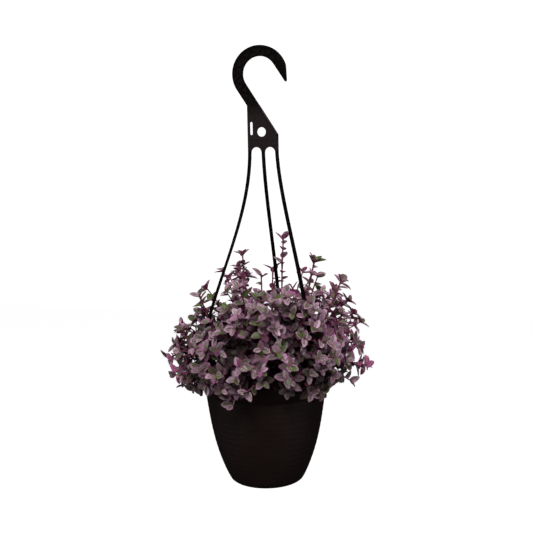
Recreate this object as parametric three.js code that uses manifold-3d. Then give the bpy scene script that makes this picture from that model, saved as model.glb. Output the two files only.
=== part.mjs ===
// Potted tradescantia in a hanging pot: plastic hanger, pot, soil and rooted leafy stems.
// Millimetres, +Z up. The origin is the point inside the hook's crown that bears on a rail.
// The hanger's flat plate lies in the XZ plane; the back leg meets the rim at +Y.
import * as THREE from "three";
import { mergeVertices } from "three/addons/utils/BufferGeometryUtils.js";
import Module from "manifold-3d";

const wasm = await Module();
wasm.setup();

// Driving dimensions
const CROWN_TO_BASE = 451;
const SEGMENTS = 40;
const LOOSE = 0.35;

// Pot, heights above its underside
const RIM_RADIUS = 75.2;
const POT_HEIGHT = 117;
const LIP_HEIGHT = 3;
const FLARE_BOTTOM = 98.4;
const FLARE_FOOT_RADIUS = 64.2;
const WALL = 1.6;
const FLOOR_TOP = 3.5;
const FOOT_INNER_RADIUS = 24;
const FOOT_OUTER_RADIUS = 30;
const FOOT_RECESS = 1.6;
const CORNER = [
  [34.7, 1.3],
  [37.8, 3.4],
];
const BODY_BOTTOM_RADIUS = 39.6;
const BODY_BOTTOM = 5.6;
const BODY_TOP_RADIUS = 63.9;
const BODY_BULGE = 4.6;
const BODY_RINGS = 5;
const INNER_RINGS = 3;
const DRAIN_HOLES = 5;
const DRAIN_CIRCLE = 15;
const DRAIN_RADIUS = 3;

// Soil
const SOIL_FOOT_RADIUS = 35.4;
const SOIL_EDGE_RADIUS = 61.9;
const SOIL_EDGE = 101;
const SOIL_MIDDLE = 104;
const STEM_HOLE_RADIUS = 1.8;
const STEM_HOLE_FLOOR = 93;

// Hanger
const HOOK_INNER = 18;
const HOOK_OUTER = 29.3;
const OUTER_ARC = [211, 15.7];
const INNER_ARC = [33.5, 214];
const HOOK_TIP = [
  [28.9, -25],
  [28.4, -26.7],
  [27.1, -26.4],
];
const PLATE_THICK = 3.2;
const RECESS_DEPTH = 0.8;
const BORDER = 1.5;
const RIB_HALF = 0.55;
const RECESS_DRAW = 1.43;
const ARCH_RADIUS = 5.7;
const LEG_THICK = 3.3;
const LEG_ANGLES = [-120, 0, 120];
const PLATE_LEFT = -13.9;
const PLATE_RIGHT = PLATE_LEFT + 4 * ARCH_RADIUS + 3 * LEG_THICK;
const PLATE_SHOULDER = -50.4;
const PLATE_CORNER = -80.6;
const PLATE_FOOT = -99;
const LEG_CIRCLE = 70.4;
const LEG_STATIONS = 9;
const LEG_SPREAD_END = 122;
const LEG_SWING = 0.88;
const LEFT_LEG_EASE = 1.05;
const LEG_EASE = 0.86;
const MOST_LEG_TURN = 30;
const CLIP_TOP = 104.4;
const CLIP_FOOT = 98;
const CLIP_HALF_WIDTH = 3.4;
const CLIP_POINT_HALF_WIDTH = 1.2;
const HANG_HOLE = { x: 1, z: -77.6, radius: 4.9 };
const KEY_SLOT = { x: -9.9, bottom: -80.8, top: -67.1, half: 1.6 };
const FLANGE_THICK = 5;
const FLANGE_WIDTH = 1.7;

// Plants
const SEED = 41;
const DOME_PLANTS = 22;
const ONE_TWIG_PLANTS = 22;
const DOME_RADIUS = 100;
const DOME_HEIGHT = 92;
const DOME_BASE = 110;
const DOME_SPREAD = 1.46;
const DOME_SHOULDER = 0.6;
const DOME_CROWN = 0.8;
const DOME_SWAY = 0.08;
const DOME_START = 0.7;
const DOME_TURN = 0.2;
const ROOT_TURN = 0.1;
const DOME_SIZE = [0.86, 1.02];
const DOME_LEAN = 1.12;
const ROOT_CIRCLE = 52;
const GOLDEN_ANGLE = Math.PI * (3 - Math.sqrt(5));
const DOME_RISE = 0.46;
const TALL_RISE = 0.36;
const TALL_LEAN = 0.004;
const TALL_TURN = 0.05;
const TALL_ROOT = 6;
const TALL_ROOT_SHARE = 0.42;
const RIM_LIFT = 1.1;
const RIM_LIFT_FROM = 1.2;
const TIP_PULL = 0.36;
const GROUND_LIFT = 1.5;
const FOOT_PUSH = 0.05;
const DOME_BENDS = [0.3, 0.56, 0.8, 1];
const TALL_BENDS = [0.22, 0.44, 0.63, 0.82, 1];
const STEM_RADIUS = 1.05;
const TWIG_RADIUS = 0.95;
const TWIG_LENGTH = [20, 31];
const TWIG_SWING = [0.65, 1.15];
const TWIG_RISE = [-0.35, 0.15];
const TWIG_BOW = 1.6;
const TAPER = 0.1;
const STEM_SIDES = 4;
const LEAF_LENGTH = 12.8;
const LEAF_WIDTH = 8;
const LEAF_THICK = 0.7;
const LONE_DROOP = 0.12;
const LEAF_STEP = 1.6;
const LEAF_INSET = 0.9;
const LEAF_SIZE = [0.83, 1.12];
const LEAF_LEAN = [0.95, 1.3];
const TALL_LEAF_LEAN = [0.62, 1.02];
const LEAF_DROOP = [0.04, 0.22];
const LEAF_FOLD = 0.2;
const LEAF_TURN = 0.3;
const LONE_TURN = 0.4;
const TIP_LEAVES = 3;
const LEAF_TRIES = 5;
const TRY_TURN = 0.42;
const TRY_LEAN = 0.05;
const TRIES = 20;
const SPARE = 0.6;
// Tall shoots: azimuth in degrees from +X, reach from the axis, height above the pot's underside.
const TALL_SHOOTS = [
  { azimuth: 40, reach: 24, height: 262 },
  { azimuth: 150, reach: 32, height: 243 },
  { azimuth: 203, reach: 68, height: 204 },
  { azimuth: 12, reach: 54, height: 238 },
  { azimuth: 352, reach: 87, height: 221 },
  { azimuth: 280, reach: 22, height: 226 },
  { azimuth: 95, reach: 55, height: 222 },
];
// What a draw decides, each with its own number so that no two draws of one plant are alike.
const DRAWS = {
  azimuth: 1,
  polar: 2,
  size: 3,
  rootAzimuth: 4,
  clusterTurn: 6,
  alternateTurn: 7,
  swing: 8,
  twigRise: 9,
  twigLength: 10,
  leafTurn: 20,
  leafLean: 30,
  leafSize: 40,
  leafDroop: 50,
  loneTurn: 60,
  loneLean: 70,
  loneSize: 80,
};

function material(color, roughness) {
  return new THREE.MeshStandardMaterial({ color, roughness, metalness: 0 });
}

// A closed geometry as a solid.
function solidOf(geometry) {
  const bare = geometry.clone();
  bare.deleteAttribute("normal");
  bare.deleteAttribute("uv");
  const merged = mergeVertices(bare, 1e-4);
  const corners = merged.index.array;
  const kept = [];
  for (let i = 0; i < corners.length; i += 3) {
    const [a, b, c] = [corners[i], corners[i + 1], corners[i + 2]];
    if (a !== b && b !== c && c !== a) {
      kept.push(a, b, c);
    }
  }
  const triVerts = new Uint32Array(kept);
  const vertProperties = new Float32Array(merged.attributes.position.array);
  return new wasm.Manifold(new wasm.Mesh({ numProp: 3, vertProperties, triVerts }));
}

function meshOf(solid, name, look) {
  const data = solid.getMesh();
  const count = data.vertProperties.length / data.numProp;
  const positions = new Float32Array(count * 3);
  for (let i = 0; i < count; i++) {
    for (let k = 0; k < 3; k++) {
      positions[i * 3 + k] = data.vertProperties[i * data.numProp + k];
    }
  }
  const geometry = new THREE.BufferGeometry();
  geometry.setAttribute("position", new THREE.BufferAttribute(positions, 3));
  geometry.setIndex(new THREE.BufferAttribute(new Uint32Array(data.triVerts), 1));
  const mesh = new THREE.Mesh(geometry, look);
  mesh.name = name;
  return mesh;
}

// A solid of revolution about Z, from a profile that starts and ends on the axis.
function turned(profile) {
  const points = profile.map(([radius, height]) => new THREE.Vector2(radius, height));
  const geometry = new THREE.LatheGeometry(points, SEGMENTS);
  geometry.rotateX(Math.PI / 2);
  return solidOf(geometry);
}

// A surface through rings of equal count, closed by a fan at each end.
function loft(rings) {
  const sides = rings[0].length;
  const positions = [];
  rings.forEach((ring) => ring.forEach((p) => positions.push(p.x, p.y, p.z)));
  const index = [];
  for (let r = 0; r < rings.length - 1; r++) {
    for (let k = 0; k < sides; k++) {
      const a = r * sides + k;
      const b = r * sides + ((k + 1) % sides);
      index.push(a, b, b + sides, a, b + sides, a + sides);
    }
  }
  const last = (rings.length - 1) * sides;
  for (let k = 1; k < sides - 1; k++) {
    index.push(0, k + 1, k);
    index.push(last, last + k, last + k + 1);
  }
  const geometry = new THREE.BufferGeometry();
  geometry.setAttribute("position", new THREE.Float32BufferAttribute(positions, 3));
  geometry.setIndex(index);
  return solidOf(geometry);
}

// A flat shape in X and Z, given depth along Y about the middle plane.
function plate(shape, thick, curveSegments, offset = 0) {
  const geometry = new THREE.ExtrudeGeometry(shape, {
    depth: thick,
    bevelEnabled: false,
    curveSegments,
  });
  geometry.rotateX(Math.PI / 2);
  geometry.translate(0, thick / 2 + offset, 0);
  return solidOf(geometry);
}

function polygon(corners) {
  const shape = new THREE.Shape();
  corners.forEach(([x, z], i) => (i ? shape.lineTo(x, z) : shape.moveTo(x, z)));
  shape.closePath();
  return shape;
}

// An upright bar with regular sides, centred on an upright line.
function upright(x, y, bottom, top, radius, sides) {
  const geometry = new THREE.CylinderGeometry(radius, radius, top - bottom, sides);
  geometry.rotateX(Math.PI / 2);
  geometry.translate(x, y, (bottom + top) / 2);
  return solidOf(geometry);
}

// Pot

// Outer radius of the pot's body at a share of its height, a taper that bulges outwards.
function bodyRadius(share) {
  const straight = BODY_BOTTOM_RADIUS + (BODY_TOP_RADIUS - BODY_BOTTOM_RADIUS) * share;
  return straight + BODY_BULGE * Math.sin(Math.PI * Math.pow(share, 0.8));
}

function bodyRings(inset, count) {
  const rings = [];
  for (let i = 0; i <= count; i++) {
    const share = i / count;
    const height = BODY_BOTTOM + (FLARE_BOTTOM - BODY_BOTTOM) * share;
    rings.push([bodyRadius(share) - inset, height]);
  }
  return rings;
}

function potProfile() {
  const outer = [
    [0, FOOT_RECESS],
    [FOOT_INNER_RADIUS - 1, FOOT_RECESS],
    [FOOT_INNER_RADIUS, 0],
    [FOOT_OUTER_RADIUS, 0],
    ...CORNER,
    ...bodyRings(0, BODY_RINGS),
    [FLARE_FOOT_RADIUS + 0.3, FLARE_BOTTOM + 0.2],
    [RIM_RADIUS - 0.8, POT_HEIGHT - LIP_HEIGHT],
    [RIM_RADIUS, POT_HEIGHT - LIP_HEIGHT],
    [RIM_RADIUS, POT_HEIGHT],
    [RIM_RADIUS - WALL - 0.3, POT_HEIGHT],
  ];
  const inner = [
    [FLARE_FOOT_RADIUS - WALL, FLARE_BOTTOM + 1.6],
    ...bodyRings(WALL, INNER_RINGS).reverse().slice(1, -1),
    [FOOT_OUTER_RADIUS + 6, FLOOR_TOP],
    [0, FLOOR_TOP],
  ];
  return [...outer, ...inner];
}

function atBase(solid) {
  return solid.translate([0, 0, -CROWN_TO_BASE]);
}

function makePot() {
  let pot = turned(potProfile());
  for (let i = 0; i < DRAIN_HOLES; i++) {
    const angle = (2 * Math.PI * i) / DRAIN_HOLES;
    const x = DRAIN_CIRCLE * Math.cos(angle);
    const y = DRAIN_CIRCLE * Math.sin(angle);
    pot = pot.subtract(upright(x, y, -1, FLOOR_TOP + 1, DRAIN_RADIUS, 8));
  }
  for (const degrees of LEG_ANGLES) {
    const reach = LEG_THICK / 2 + LOOSE;
    const slot = new THREE.BoxGeometry(2 * reach, 2 * reach, 17);
    slot.translate(0, LEG_CIRCLE, POT_HEIGHT - 8);
    slot.rotateZ(-THREE.MathUtils.degToRad(degrees));
    pot = pot.subtract(solidOf(slot));
  }
  return atBase(pot);
}

// Soil

function soilProfile() {
  const walls = bodyRings(WALL + LOOSE, INNER_RINGS).slice(1);
  const gap = FLOOR_TOP + LOOSE;
  return [[0, gap], [SOIL_FOOT_RADIUS, gap], ...walls, [SOIL_EDGE_RADIUS, SOIL_EDGE], [0, SOIL_MIDDLE]];
}

function makeSoil(plants) {
  let soil = turned(soilProfile());
  for (const plant of plants) {
    const { x, y } = plant.root;
    soil = soil.subtract(upright(x, y, STEM_HOLE_FLOOR, SOIL_MIDDLE + 5, STEM_HOLE_RADIUS, 5));
  }
  return atBase(soil);
}

// Hanger

// A slot with round ends, or a round hole where both ends have one centre.
function roundEnded(x, low, high, radius) {
  const path = new THREE.Path();
  path.absarc(x, high, radius, 0, Math.PI, false);
  path.absarc(x, low, radius, Math.PI, 2 * Math.PI, false);
  path.closePath();
  return path;
}

function hookOutline() {
  const shape = new THREE.Shape();
  const centre = -HOOK_INNER;
  const [outerStart, outerEnd] = OUTER_ARC.map(THREE.MathUtils.degToRad);
  const [innerStart, innerEnd] = INNER_ARC.map(THREE.MathUtils.degToRad);
  shape.moveTo(PLATE_LEFT, PLATE_FOOT);
  shape.lineTo(PLATE_LEFT, PLATE_SHOULDER);
  shape.absarc(0, centre, HOOK_OUTER, outerStart, outerEnd, true);
  HOOK_TIP.forEach(([x, z]) => shape.lineTo(x, z));
  shape.absarc(0, centre, HOOK_INNER, innerStart, innerEnd, false);
  shape.lineTo(PLATE_RIGHT, PLATE_CORNER);
  shape.lineTo(PLATE_RIGHT, PLATE_FOOT);
  shape.absarc(PLATE_RIGHT - LEG_THICK - ARCH_RADIUS, PLATE_FOOT, ARCH_RADIUS, 0, Math.PI, false);
  shape.absarc(PLATE_LEFT + LEG_THICK + ARCH_RADIUS, PLATE_FOOT, ARCH_RADIUS, 0, Math.PI, false);
  shape.closePath();
  const { x, z, radius } = HANG_HOLE;
  shape.holes.push(roundEnded(x, z, z, radius));
  const { bottom, top, half } = KEY_SLOT;
  shape.holes.push(roundEnded(KEY_SLOT.x, bottom + half, top - half, half));
  return shape;
}

// Direction in which the hook's straight shank runs down to the plate's corner.
const SHANK_RUN = new THREE.Vector2(33.8, -52.6).normalize();
const SHANK_TOP = new THREE.Vector2(-14.9, -28.1);
const TRUSS_START = 36;
const TRUSS_STEP = 14.6;
const SHANK_STEP = 6.4;
const FLANGE_LENGTH = 37;

// The line of points that the truss of ribs turns at, alternately on the inner and outer border.
function trussPoints() {
  const points = [];
  const inner = HOOK_INNER + BORDER;
  const outer = HOOK_OUTER - BORDER;
  for (let i = 0; i <= 12; i++) {
    const angle = THREE.MathUtils.degToRad(TRUSS_START + i * TRUSS_STEP);
    const radius = i % 2 ? outer : inner;
    points.push([radius * Math.cos(angle), radius * Math.sin(angle) - HOOK_INNER]);
  }
  const across = new THREE.Vector2(SHANK_RUN.y, -SHANK_RUN.x);
  for (let i = 1; i <= 4; i++) {
    const width = i % 2 ? HOOK_OUTER - HOOK_INNER - BORDER : BORDER;
    const along = i * SHANK_STEP - SHANK_STEP / 2;
    const turn = SHANK_TOP.clone().addScaledVector(SHANK_RUN, along).addScaledVector(across, width);
    points.push([turn.x, turn.y]);
  }
  return points;
}

// Triangular recess between three turning points, drawn in from the ribs round it.
function recess(a, b, c) {
  const middle = [(a[0] + b[0] + c[0]) / 3, (a[1] + b[1] + c[1]) / 3];
  const drawn = [a, b, c].map(([x, z]) => {
    const dx = middle[0] - x;
    const dz = middle[1] - z;
    const length = Math.hypot(dx, dz);
    const move = RECESS_DRAW / length;
    return [x + dx * move, z + dz * move];
  });
  return polygon(drawn);
}

// Middle line of a leg: it leaves the plate upright, swings out and drops through the rim.
function legPoint(side, share) {
  const t = Math.pow(share, side < 0 ? LEFT_LEG_EASE : LEG_EASE);
  const spread = LEG_SWING * t * t * (3 - 2 * t) + (1 - LEG_SWING) * t;
  const angle = THREE.MathUtils.degToRad(LEG_ANGLES[side + 1]);
  const middle = (PLATE_LEFT + PLATE_RIGHT) / 2;
  const startX = middle + side * (ARCH_RADIUS * 2 + LEG_THICK);
  const x = startX + (LEG_CIRCLE * Math.sin(angle) - startX) * spread;
  const y = LEG_CIRCLE * Math.cos(angle) * spread;
  const foot = LEG_SPREAD_END - CROWN_TO_BASE;
  const z = PLATE_FOOT + (foot - PLATE_FOOT) * share;
  return new THREE.Vector3(x, y, z);
}

function legRing(centre, turn, halfAcross, halfRadial) {
  const corners = [
    [halfAcross, halfRadial],
    [-halfAcross, halfRadial],
    [-halfAcross, -halfRadial],
    [halfAcross, -halfRadial],
  ];
  const cos = Math.cos(turn);
  const sin = Math.sin(turn);
  return corners
    .map(([a, r]) => new THREE.Vector3(
      centre.x + a * cos - r * sin,
      centre.y + a * sin + r * cos,
      centre.z,
    ))
    .reverse();
}

function makeLeg(side) {
  const half = LEG_THICK / 2;
  // The square section turns no further than it must to line up with its slot.
  const slotTurn = THREE.MathUtils.degToRad(-side * MOST_LEG_TURN);
  const rings = [];
  const top = legPoint(side, 0);
  rings.push(legRing(top.clone().setZ(PLATE_FOOT + 6), 0, half, half));
  for (let i = 0; i <= LEG_STATIONS; i++) {
    const share = i / LEG_STATIONS;
    rings.push(legRing(legPoint(side, share), slotTurn * share, half, half));
  }
  const foot = legPoint(side, 1);
  const low = (height) => foot.clone().setZ(height - CROWN_TO_BASE);
  rings.push(legRing(low(CLIP_FOOT + 1), slotTurn, half, half));
  const leg = loft(rings);
  const acrossTurn = -THREE.MathUtils.degToRad(LEG_ANGLES[side + 1]);
  const clip = loft([
    legRing(low(CLIP_TOP), acrossTurn, CLIP_HALF_WIDTH, half),
    legRing(low(CLIP_TOP - 2), acrossTurn, CLIP_HALF_WIDTH, half),
    legRing(low(CLIP_FOOT), acrossTurn, CLIP_POINT_HALF_WIDTH, half * 0.8),
  ]);
  return leg.add(clip);
}

function makeHanger() {
  let hanger = plate(hookOutline(), PLATE_THICK, 7);
  const turns = trussPoints();
  for (let i = 0; i < turns.length - 2; i++) {
    const shape = recess(turns[i], turns[i + 1], turns[i + 2]);
    const offset = PLATE_THICK / 2;
    hanger = hanger.subtract(plate(shape, 2 * RECESS_DEPTH, 1, offset));
    hanger = hanger.subtract(plate(shape, 2 * RECESS_DEPTH, 1, -offset));
  }
  const corner = new THREE.Vector2(PLATE_RIGHT, PLATE_CORNER);
  const from = corner.clone().addScaledVector(SHANK_RUN, -FLANGE_LENGTH);
  const inward = new THREE.Vector2(SHANK_RUN.y, -SHANK_RUN.x).multiplyScalar(FLANGE_WIDTH);
  const edges = [from, corner, corner.clone().add(inward), from.clone().add(inward)];
  const flange = polygon(edges.map((point) => [point.x, point.y]));
  hanger = hanger.add(plate(flange, FLANGE_THICK, 1));
  for (const side of [-1, 0, 1]) {
    hanger = hanger.add(makeLeg(side));
  }
  return hanger;
}

// Plants

// An even draw from 0 to 1 that depends only on the plant, the item and what is drawn.
function draw(plant, item, what) {
  let h = Math.imul(plant, 7919) + Math.imul(item, 104729) + Math.imul(what, 1299709);
  h = (h + SEED) | 0;
  h = Math.imul(h ^ (h >>> 15), 0x2c1b3c6d);
  h = Math.imul(h ^ (h >>> 12), 0x297a2d39);
  return ((h ^ (h >>> 15)) >>> 0) / 2 ** 32;
}

function vary(plant, item, what, [low, high]) {
  return low + (high - low) * draw(plant, item, what);
}

// A draw to either side of none.
function sway(plant, item, what, most) {
  return vary(plant, item, what, [-most, most]);
}

// A point from a distance out along an azimuth and a height above the pot's underside.
function place(azimuth, reach, height) {
  return new THREE.Vector3(reach * Math.cos(azimuth), reach * Math.sin(azimuth), height);
}

function bezier(p, u) {
  const v = 1 - u;
  return new THREE.Vector3()
    .addScaledVector(p[0], v * v * v)
    .addScaledVector(p[1], 3 * v * v * u)
    .addScaledVector(p[2], 3 * v * u * u)
    .addScaledVector(p[3], u * u * u);
}

function directionOf(from, to) {
  return to.clone().sub(from).normalize();
}

// Two directions square to a stem: the first as level as it can be.
function frameOf(direction) {
  const side = new THREE.Vector3(-direction.y, direction.x, 0);
  if (side.length() < 0.05) {
    side.set(1, 0, 0);
  }
  side.normalize();
  const over = new THREE.Vector3().crossVectors(direction, side).normalize();
  return { side, over };
}

// A leaf at a point of a stem, turned about the stem and leaning off it.
function leafAt(point, direction, turn, lean, length, droop) {
  const { side, over } = frameOf(direction);
  const out = side.clone().multiplyScalar(Math.cos(turn)).addScaledVector(over, Math.sin(turn));
  const along = direction.clone().multiplyScalar(Math.cos(lean)).addScaledVector(out, Math.sin(lean));
  const face = direction.clone().multiplyScalar(Math.sin(lean)).addScaledVector(out, -Math.cos(lean));
  const width = (length * LEAF_WIDTH) / LEAF_LENGTH;
  return { point, direction, turn, lean, along, face, length, width, droop };
}

// The same leaf turned further round its stem, to one side and the other by turns.
function turnedLeaf(leaf, attempt) {
  const way = attempt % 2 ? 1 : -1;
  const turn = leaf.turn + way * Math.ceil(attempt / 2) * TRY_TURN;
  return leafAt(leaf.point, leaf.direction, turn, leaf.lean - TRY_LEAN * attempt, leaf.length, leaf.droop);
}

// How far a leaf leans off its stem. The tall shoots' leaves stand up more.
function leanOf(plant, item, what) {
  return vary(plant, item, what, plant < TALL_SHOOTS.length ? TALL_LEAF_LEAN : LEAF_LEAN);
}

// The leaves round a growing tip.
function clusterAt(plant, item, tip, heading) {
  const first = vary(plant, item, DRAWS.clusterTurn, [0, 2 * Math.PI]);
  const leaves = [];
  for (let k = 0; k < TIP_LEAVES; k++) {
    const even = first + (2 * Math.PI * k) / TIP_LEAVES;
    const turn = even + sway(plant, item, DRAWS.leafTurn + k, LEAF_TURN);
    const lean = leanOf(plant, item, DRAWS.leafLean + k);
    const length = LEAF_LENGTH * vary(plant, item, DRAWS.leafSize + k, LEAF_SIZE);
    const droop = vary(plant, item, DRAWS.leafDroop + k, LEAF_DROOP);
    const point = tip.clone().addScaledVector(heading, -LEAF_INSET - LEAF_STEP * k);
    leaves.push(leafAt(point, heading, turn, lean, length, droop));
  }
  return leaves;
}

// Where a tall shoot's stem stands, ends and points.
function tallCourse(plant, item, attempt) {
  const shoot = TALL_SHOOTS[plant];
  const drift = attempt * sway(plant, item, DRAWS.azimuth, TALL_TURN);
  const azimuth = THREE.MathUtils.degToRad(shoot.azimuth) + drift;
  return {
    azimuth,
    root: place(azimuth, TALL_ROOT + shoot.reach * TALL_ROOT_SHARE, 0),
    tip: place(azimuth, shoot.reach, shoot.height),
    lean: TALL_LEAN * shoot.reach,
    rise: TALL_RISE,
    bends: TALL_BENDS,
  };
}

// The same for one of the stems that fill the dome and hang over the rim.
function domeCourse(plant, item) {
  const order = plant - TALL_SHOOTS.length;
  const share = Math.sqrt((order + DOME_START) / DOME_PLANTS);
  const azimuth = order * GOLDEN_ANGLE + sway(plant, item, DRAWS.azimuth, DOME_TURN);
  const rootAzimuth = azimuth + sway(plant, 0, DRAWS.rootAzimuth, ROOT_TURN);
  const polar = DOME_SPREAD * share + sway(plant, item, DRAWS.polar, DOME_SWAY);
  const size = vary(plant, item, DRAWS.size, DOME_SIZE);
  const reach = DOME_RADIUS * size * Math.pow(Math.sin(polar), DOME_SHOULDER);
  const height = DOME_BASE + DOME_HEIGHT * size * Math.pow(Math.cos(polar), DOME_CROWN);
  return {
    azimuth,
    root: place(rootAzimuth, ROOT_CIRCLE * share, 0),
    tip: place(azimuth, reach, height),
    lean: polar * DOME_LEAN,
    rise: DOME_RISE + RIM_LIFT * Math.max(0, polar - RIM_LIFT_FROM),
    bends: DOME_BENDS,
  };
}

// A plant's main stem and the leaves that it may carry, for a given try.
function planOf(plant, attempt) {
  const item = 100 * attempt;
  const tall = plant < TALL_SHOOTS.length;
  const course = tall ? tallCourse(plant, item, attempt) : domeCourse(plant, item);
  const { azimuth, root, tip, lean, rise, bends } = course;
  const ground = root.clone().setZ(SOIL_MIDDLE + GROUND_LIFT);
  const reach = tip.distanceTo(ground);
  const tipDirection = place(azimuth, Math.sin(lean), Math.cos(lean));
  const curve = [
    ground,
    ground.clone().add(place(azimuth, FOOT_PUSH * reach, rise * reach)),
    tip.clone().addScaledVector(tipDirection, -TIP_PULL * reach),
    tip,
  ];
  const foot = root.clone().setZ(STEM_HOLE_FLOOR + LOOSE);
  const points = [foot, ground, ...bends.map((u) => bezier(curve, u))];
  const last = points.length - 1;
  const leaves = clusterAt(plant, item, tip, directionOf(points[last - 1], tip));
  const alternate = vary(plant, item, DRAWS.alternateTurn, [0, 2 * Math.PI]);
  for (let k = tall ? 3 : 4; k < last; k++) {
    const turn = alternate + k * Math.PI + sway(plant, item, DRAWS.loneTurn + k, LONE_TURN);
    const leafLean = leanOf(plant, item, DRAWS.loneLean + k);
    const length = LEAF_LENGTH * vary(plant, item, DRAWS.loneSize + k, LEAF_SIZE);
    const way = directionOf(points[k - 1], points[k]);
    leaves.push(leafAt(points[k], way, turn, leafLean, length, LONE_DROOP));
  }
  return { number: plant, root, points, leaves, twigs: [], solids: [] };
}

// One of a plant's side twigs, for a given try: it leaves a bend of the stem sideways.
function twigOf(plan, order, attempt) {
  const plant = plan.number;
  const item = 1000 + 100 * attempt + order;
  const start = plan.points[3 + order];
  const way = directionOf(plan.points[2 + order], start);
  const { side, over } = frameOf(way);
  const hand = (order + plant + (attempt >> 2)) % 2 ? 1 : -1;
  const swing = vary(plant, item, DRAWS.swing, TWIG_SWING);
  const heading = way
    .clone()
    .multiplyScalar(Math.cos(swing))
    .addScaledVector(side, hand * Math.sin(swing))
    .addScaledVector(over, vary(plant, item, DRAWS.twigRise, TWIG_RISE))
    .normalize();
  const length = vary(plant, item, DRAWS.twigLength, TWIG_LENGTH) * (1 - attempt / (3 * TRIES));
  const end = start.clone().addScaledVector(heading, length);
  const middle = start.clone().lerp(end, 0.5).addScaledVector(over, TWIG_BOW);
  return {
    points: [start, middle, end],
    leaves: clusterAt(plant, item, end, directionOf(middle, end)),
  };
}

// A bent stem with a slight taper.
function stemSolid(points, radius) {
  const rings = points.map((point, i) => {
    const before = points[Math.max(i - 1, 0)];
    const after = points[Math.min(i + 1, points.length - 1)];
    const way = after.clone().sub(before).normalize();
    const { side, over } = frameOf(way);
    const here = radius * (1 - (TAPER * i) / (points.length - 1));
    const ring = [];
    for (let k = 0; k < STEM_SIDES; k++) {
      const angle = (2 * Math.PI * k) / STEM_SIDES;
      const spoke = side.clone().multiplyScalar(here * Math.cos(angle));
      ring.push(point.clone().add(spoke.addScaledVector(over, here * Math.sin(angle))));
    }
    return ring;
  });
  return loft(rings);
}

// A pointed oval blade, folded along its midrib and drooping to its tip, alike on both faces.
function bladeSolid(leaf, grow) {
  const length = leaf.length + grow;
  const half = leaf.width / 2 + grow;
  const thick = LEAF_THICK / 2 + grow;
  const across = new THREE.Vector3().crossVectors(leaf.face, leaf.along);
  const rise = leaf.width * LEAF_FOLD;
  const fall = leaf.droop * leaf.length;
  const outline = [
    [0, 0, 0],
    [0.3 * length, -half, rise],
    [0.68 * length, -half * 0.8, rise * 0.8 - 0.45 * fall],
    [length, 0, -fall],
    [0.68 * length, half * 0.8, rise * 0.8 - 0.45 * fall],
    [0.3 * length, half, rise],
  ];
  const positions = [];
  for (const face of [thick, -thick]) {
    for (const [x, y, z] of outline) {
      const p = leaf.point
        .clone()
        .addScaledVector(leaf.along, x)
        .addScaledVector(across, y)
        .addScaledVector(leaf.face, z + face);
      positions.push(p.x, p.y, p.z);
    }
  }
  const index = [];
  for (const [a, b, c] of [[0, 1, 3], [1, 2, 3], [0, 3, 5], [3, 4, 5]]) {
    index.push(a, b, c);
    index.push(c + 6, b + 6, a + 6);
  }
  for (let k = 0; k < 6; k++) {
    const next = (k + 1) % 6;
    index.push(k, k + 6, next + 6, k, next + 6, next);
  }
  const geometry = new THREE.BufferGeometry();
  geometry.setAttribute("position", new THREE.Float32BufferAttribute(positions, 3));
  geometry.setIndex(index);
  return solidOf(geometry);
}

function boxOf(solid) {
  const { min, max } = solid.boundingBox();
  return new THREE.Box3(new THREE.Vector3(...min), new THREE.Vector3(...max));
}

function isClear(solid, others) {
  const box = boxOf(solid);
  return others.every((other) => {
    return !box.intersectsBox(other.box) || solid.intersect(other.solid).isEmpty();
  });
}

function bodyOf(solid, owner) {
  return { solid, box: boxOf(solid), owner };
}

function take(taken, solid, plan) {
  plan.solids.push(solid);
  taken.push(bodyOf(solid, plan.number));
}

// Chooses for each plant the first try whose stem passes clear.
function growStems(taken) {
  const plans = [];
  const count = TALL_SHOOTS.length + DOME_PLANTS;
  for (let plant = 0; plant < count; plant++) {
    for (let attempt = 0; attempt < TRIES; attempt++) {
      const plan = planOf(plant, attempt);
      if (isClear(stemSolid(plan.points, STEM_RADIUS + SPARE), taken)) {
        take(taken, stemSolid(plan.points, STEM_RADIUS), plan);
        plans.push(plan);
        break;
      }
    }
  }
  return plans;
}

function growTwigs(plan, taken) {
  const others = taken.filter((other) => other.owner !== plan.number);
  const count = plan.number < ONE_TWIG_PLANTS ? 1 : 2;
  for (let order = 0; order < count; order++) {
    for (let attempt = 0; attempt < TRIES; attempt++) {
      const twig = twigOf(plan, order, attempt);
      if (isClear(stemSolid(twig.points, TWIG_RADIUS + SPARE), others)) {
        take(taken, stemSolid(twig.points, TWIG_RADIUS), plan);
        plan.twigs.push(twig);
        break;
      }
    }
  }
}

// Adds the leaves that pass clear of the other plants, and of their own plant's other pieces.
function growLeaves(plan, taken) {
  const others = taken.filter((other) => other.owner !== plan.number);
  const stems = plan.solids.map((solid) => bodyOf(solid, plan.number));
  const blades = [];
  [plan, ...plan.twigs].forEach((bearer, order) => {
    const own = stems.filter((stem, i) => i !== order);
    for (const leaf of bearer.leaves) {
      for (let attempt = 0; attempt < LEAF_TRIES; attempt++) {
        const tried = turnedLeaf(leaf, attempt);
        const blade = bladeSolid(tried, 0);
        const clear = isClear(bladeSolid(tried, LOOSE), others);
        if (clear && isClear(blade, [...own, ...blades])) {
          take(taken, blade, plan);
          blades.push(bodyOf(blade, plan.number));
          break;
        }
      }
    }
  });
}

function fuse(solids) {
  return solids.reduce((sum, solid) => sum.add(solid));
}

const part = new THREE.Group();
part.name = "potted_tradescantia";

const pot = makePot();
const hanger = makeHanger();
const taken = [pot, hanger].map((made) => bodyOf(made.translate([0, 0, CROWN_TO_BASE]), "holder"));
const plans = growStems(taken);
taken.push(bodyOf(turned(soilProfile()), "soil"));
plans.forEach((plan) => growTwigs(plan, taken));
plans.forEach((plan) => growLeaves(plan, taken));
const soil = makeSoil(plans);

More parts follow.
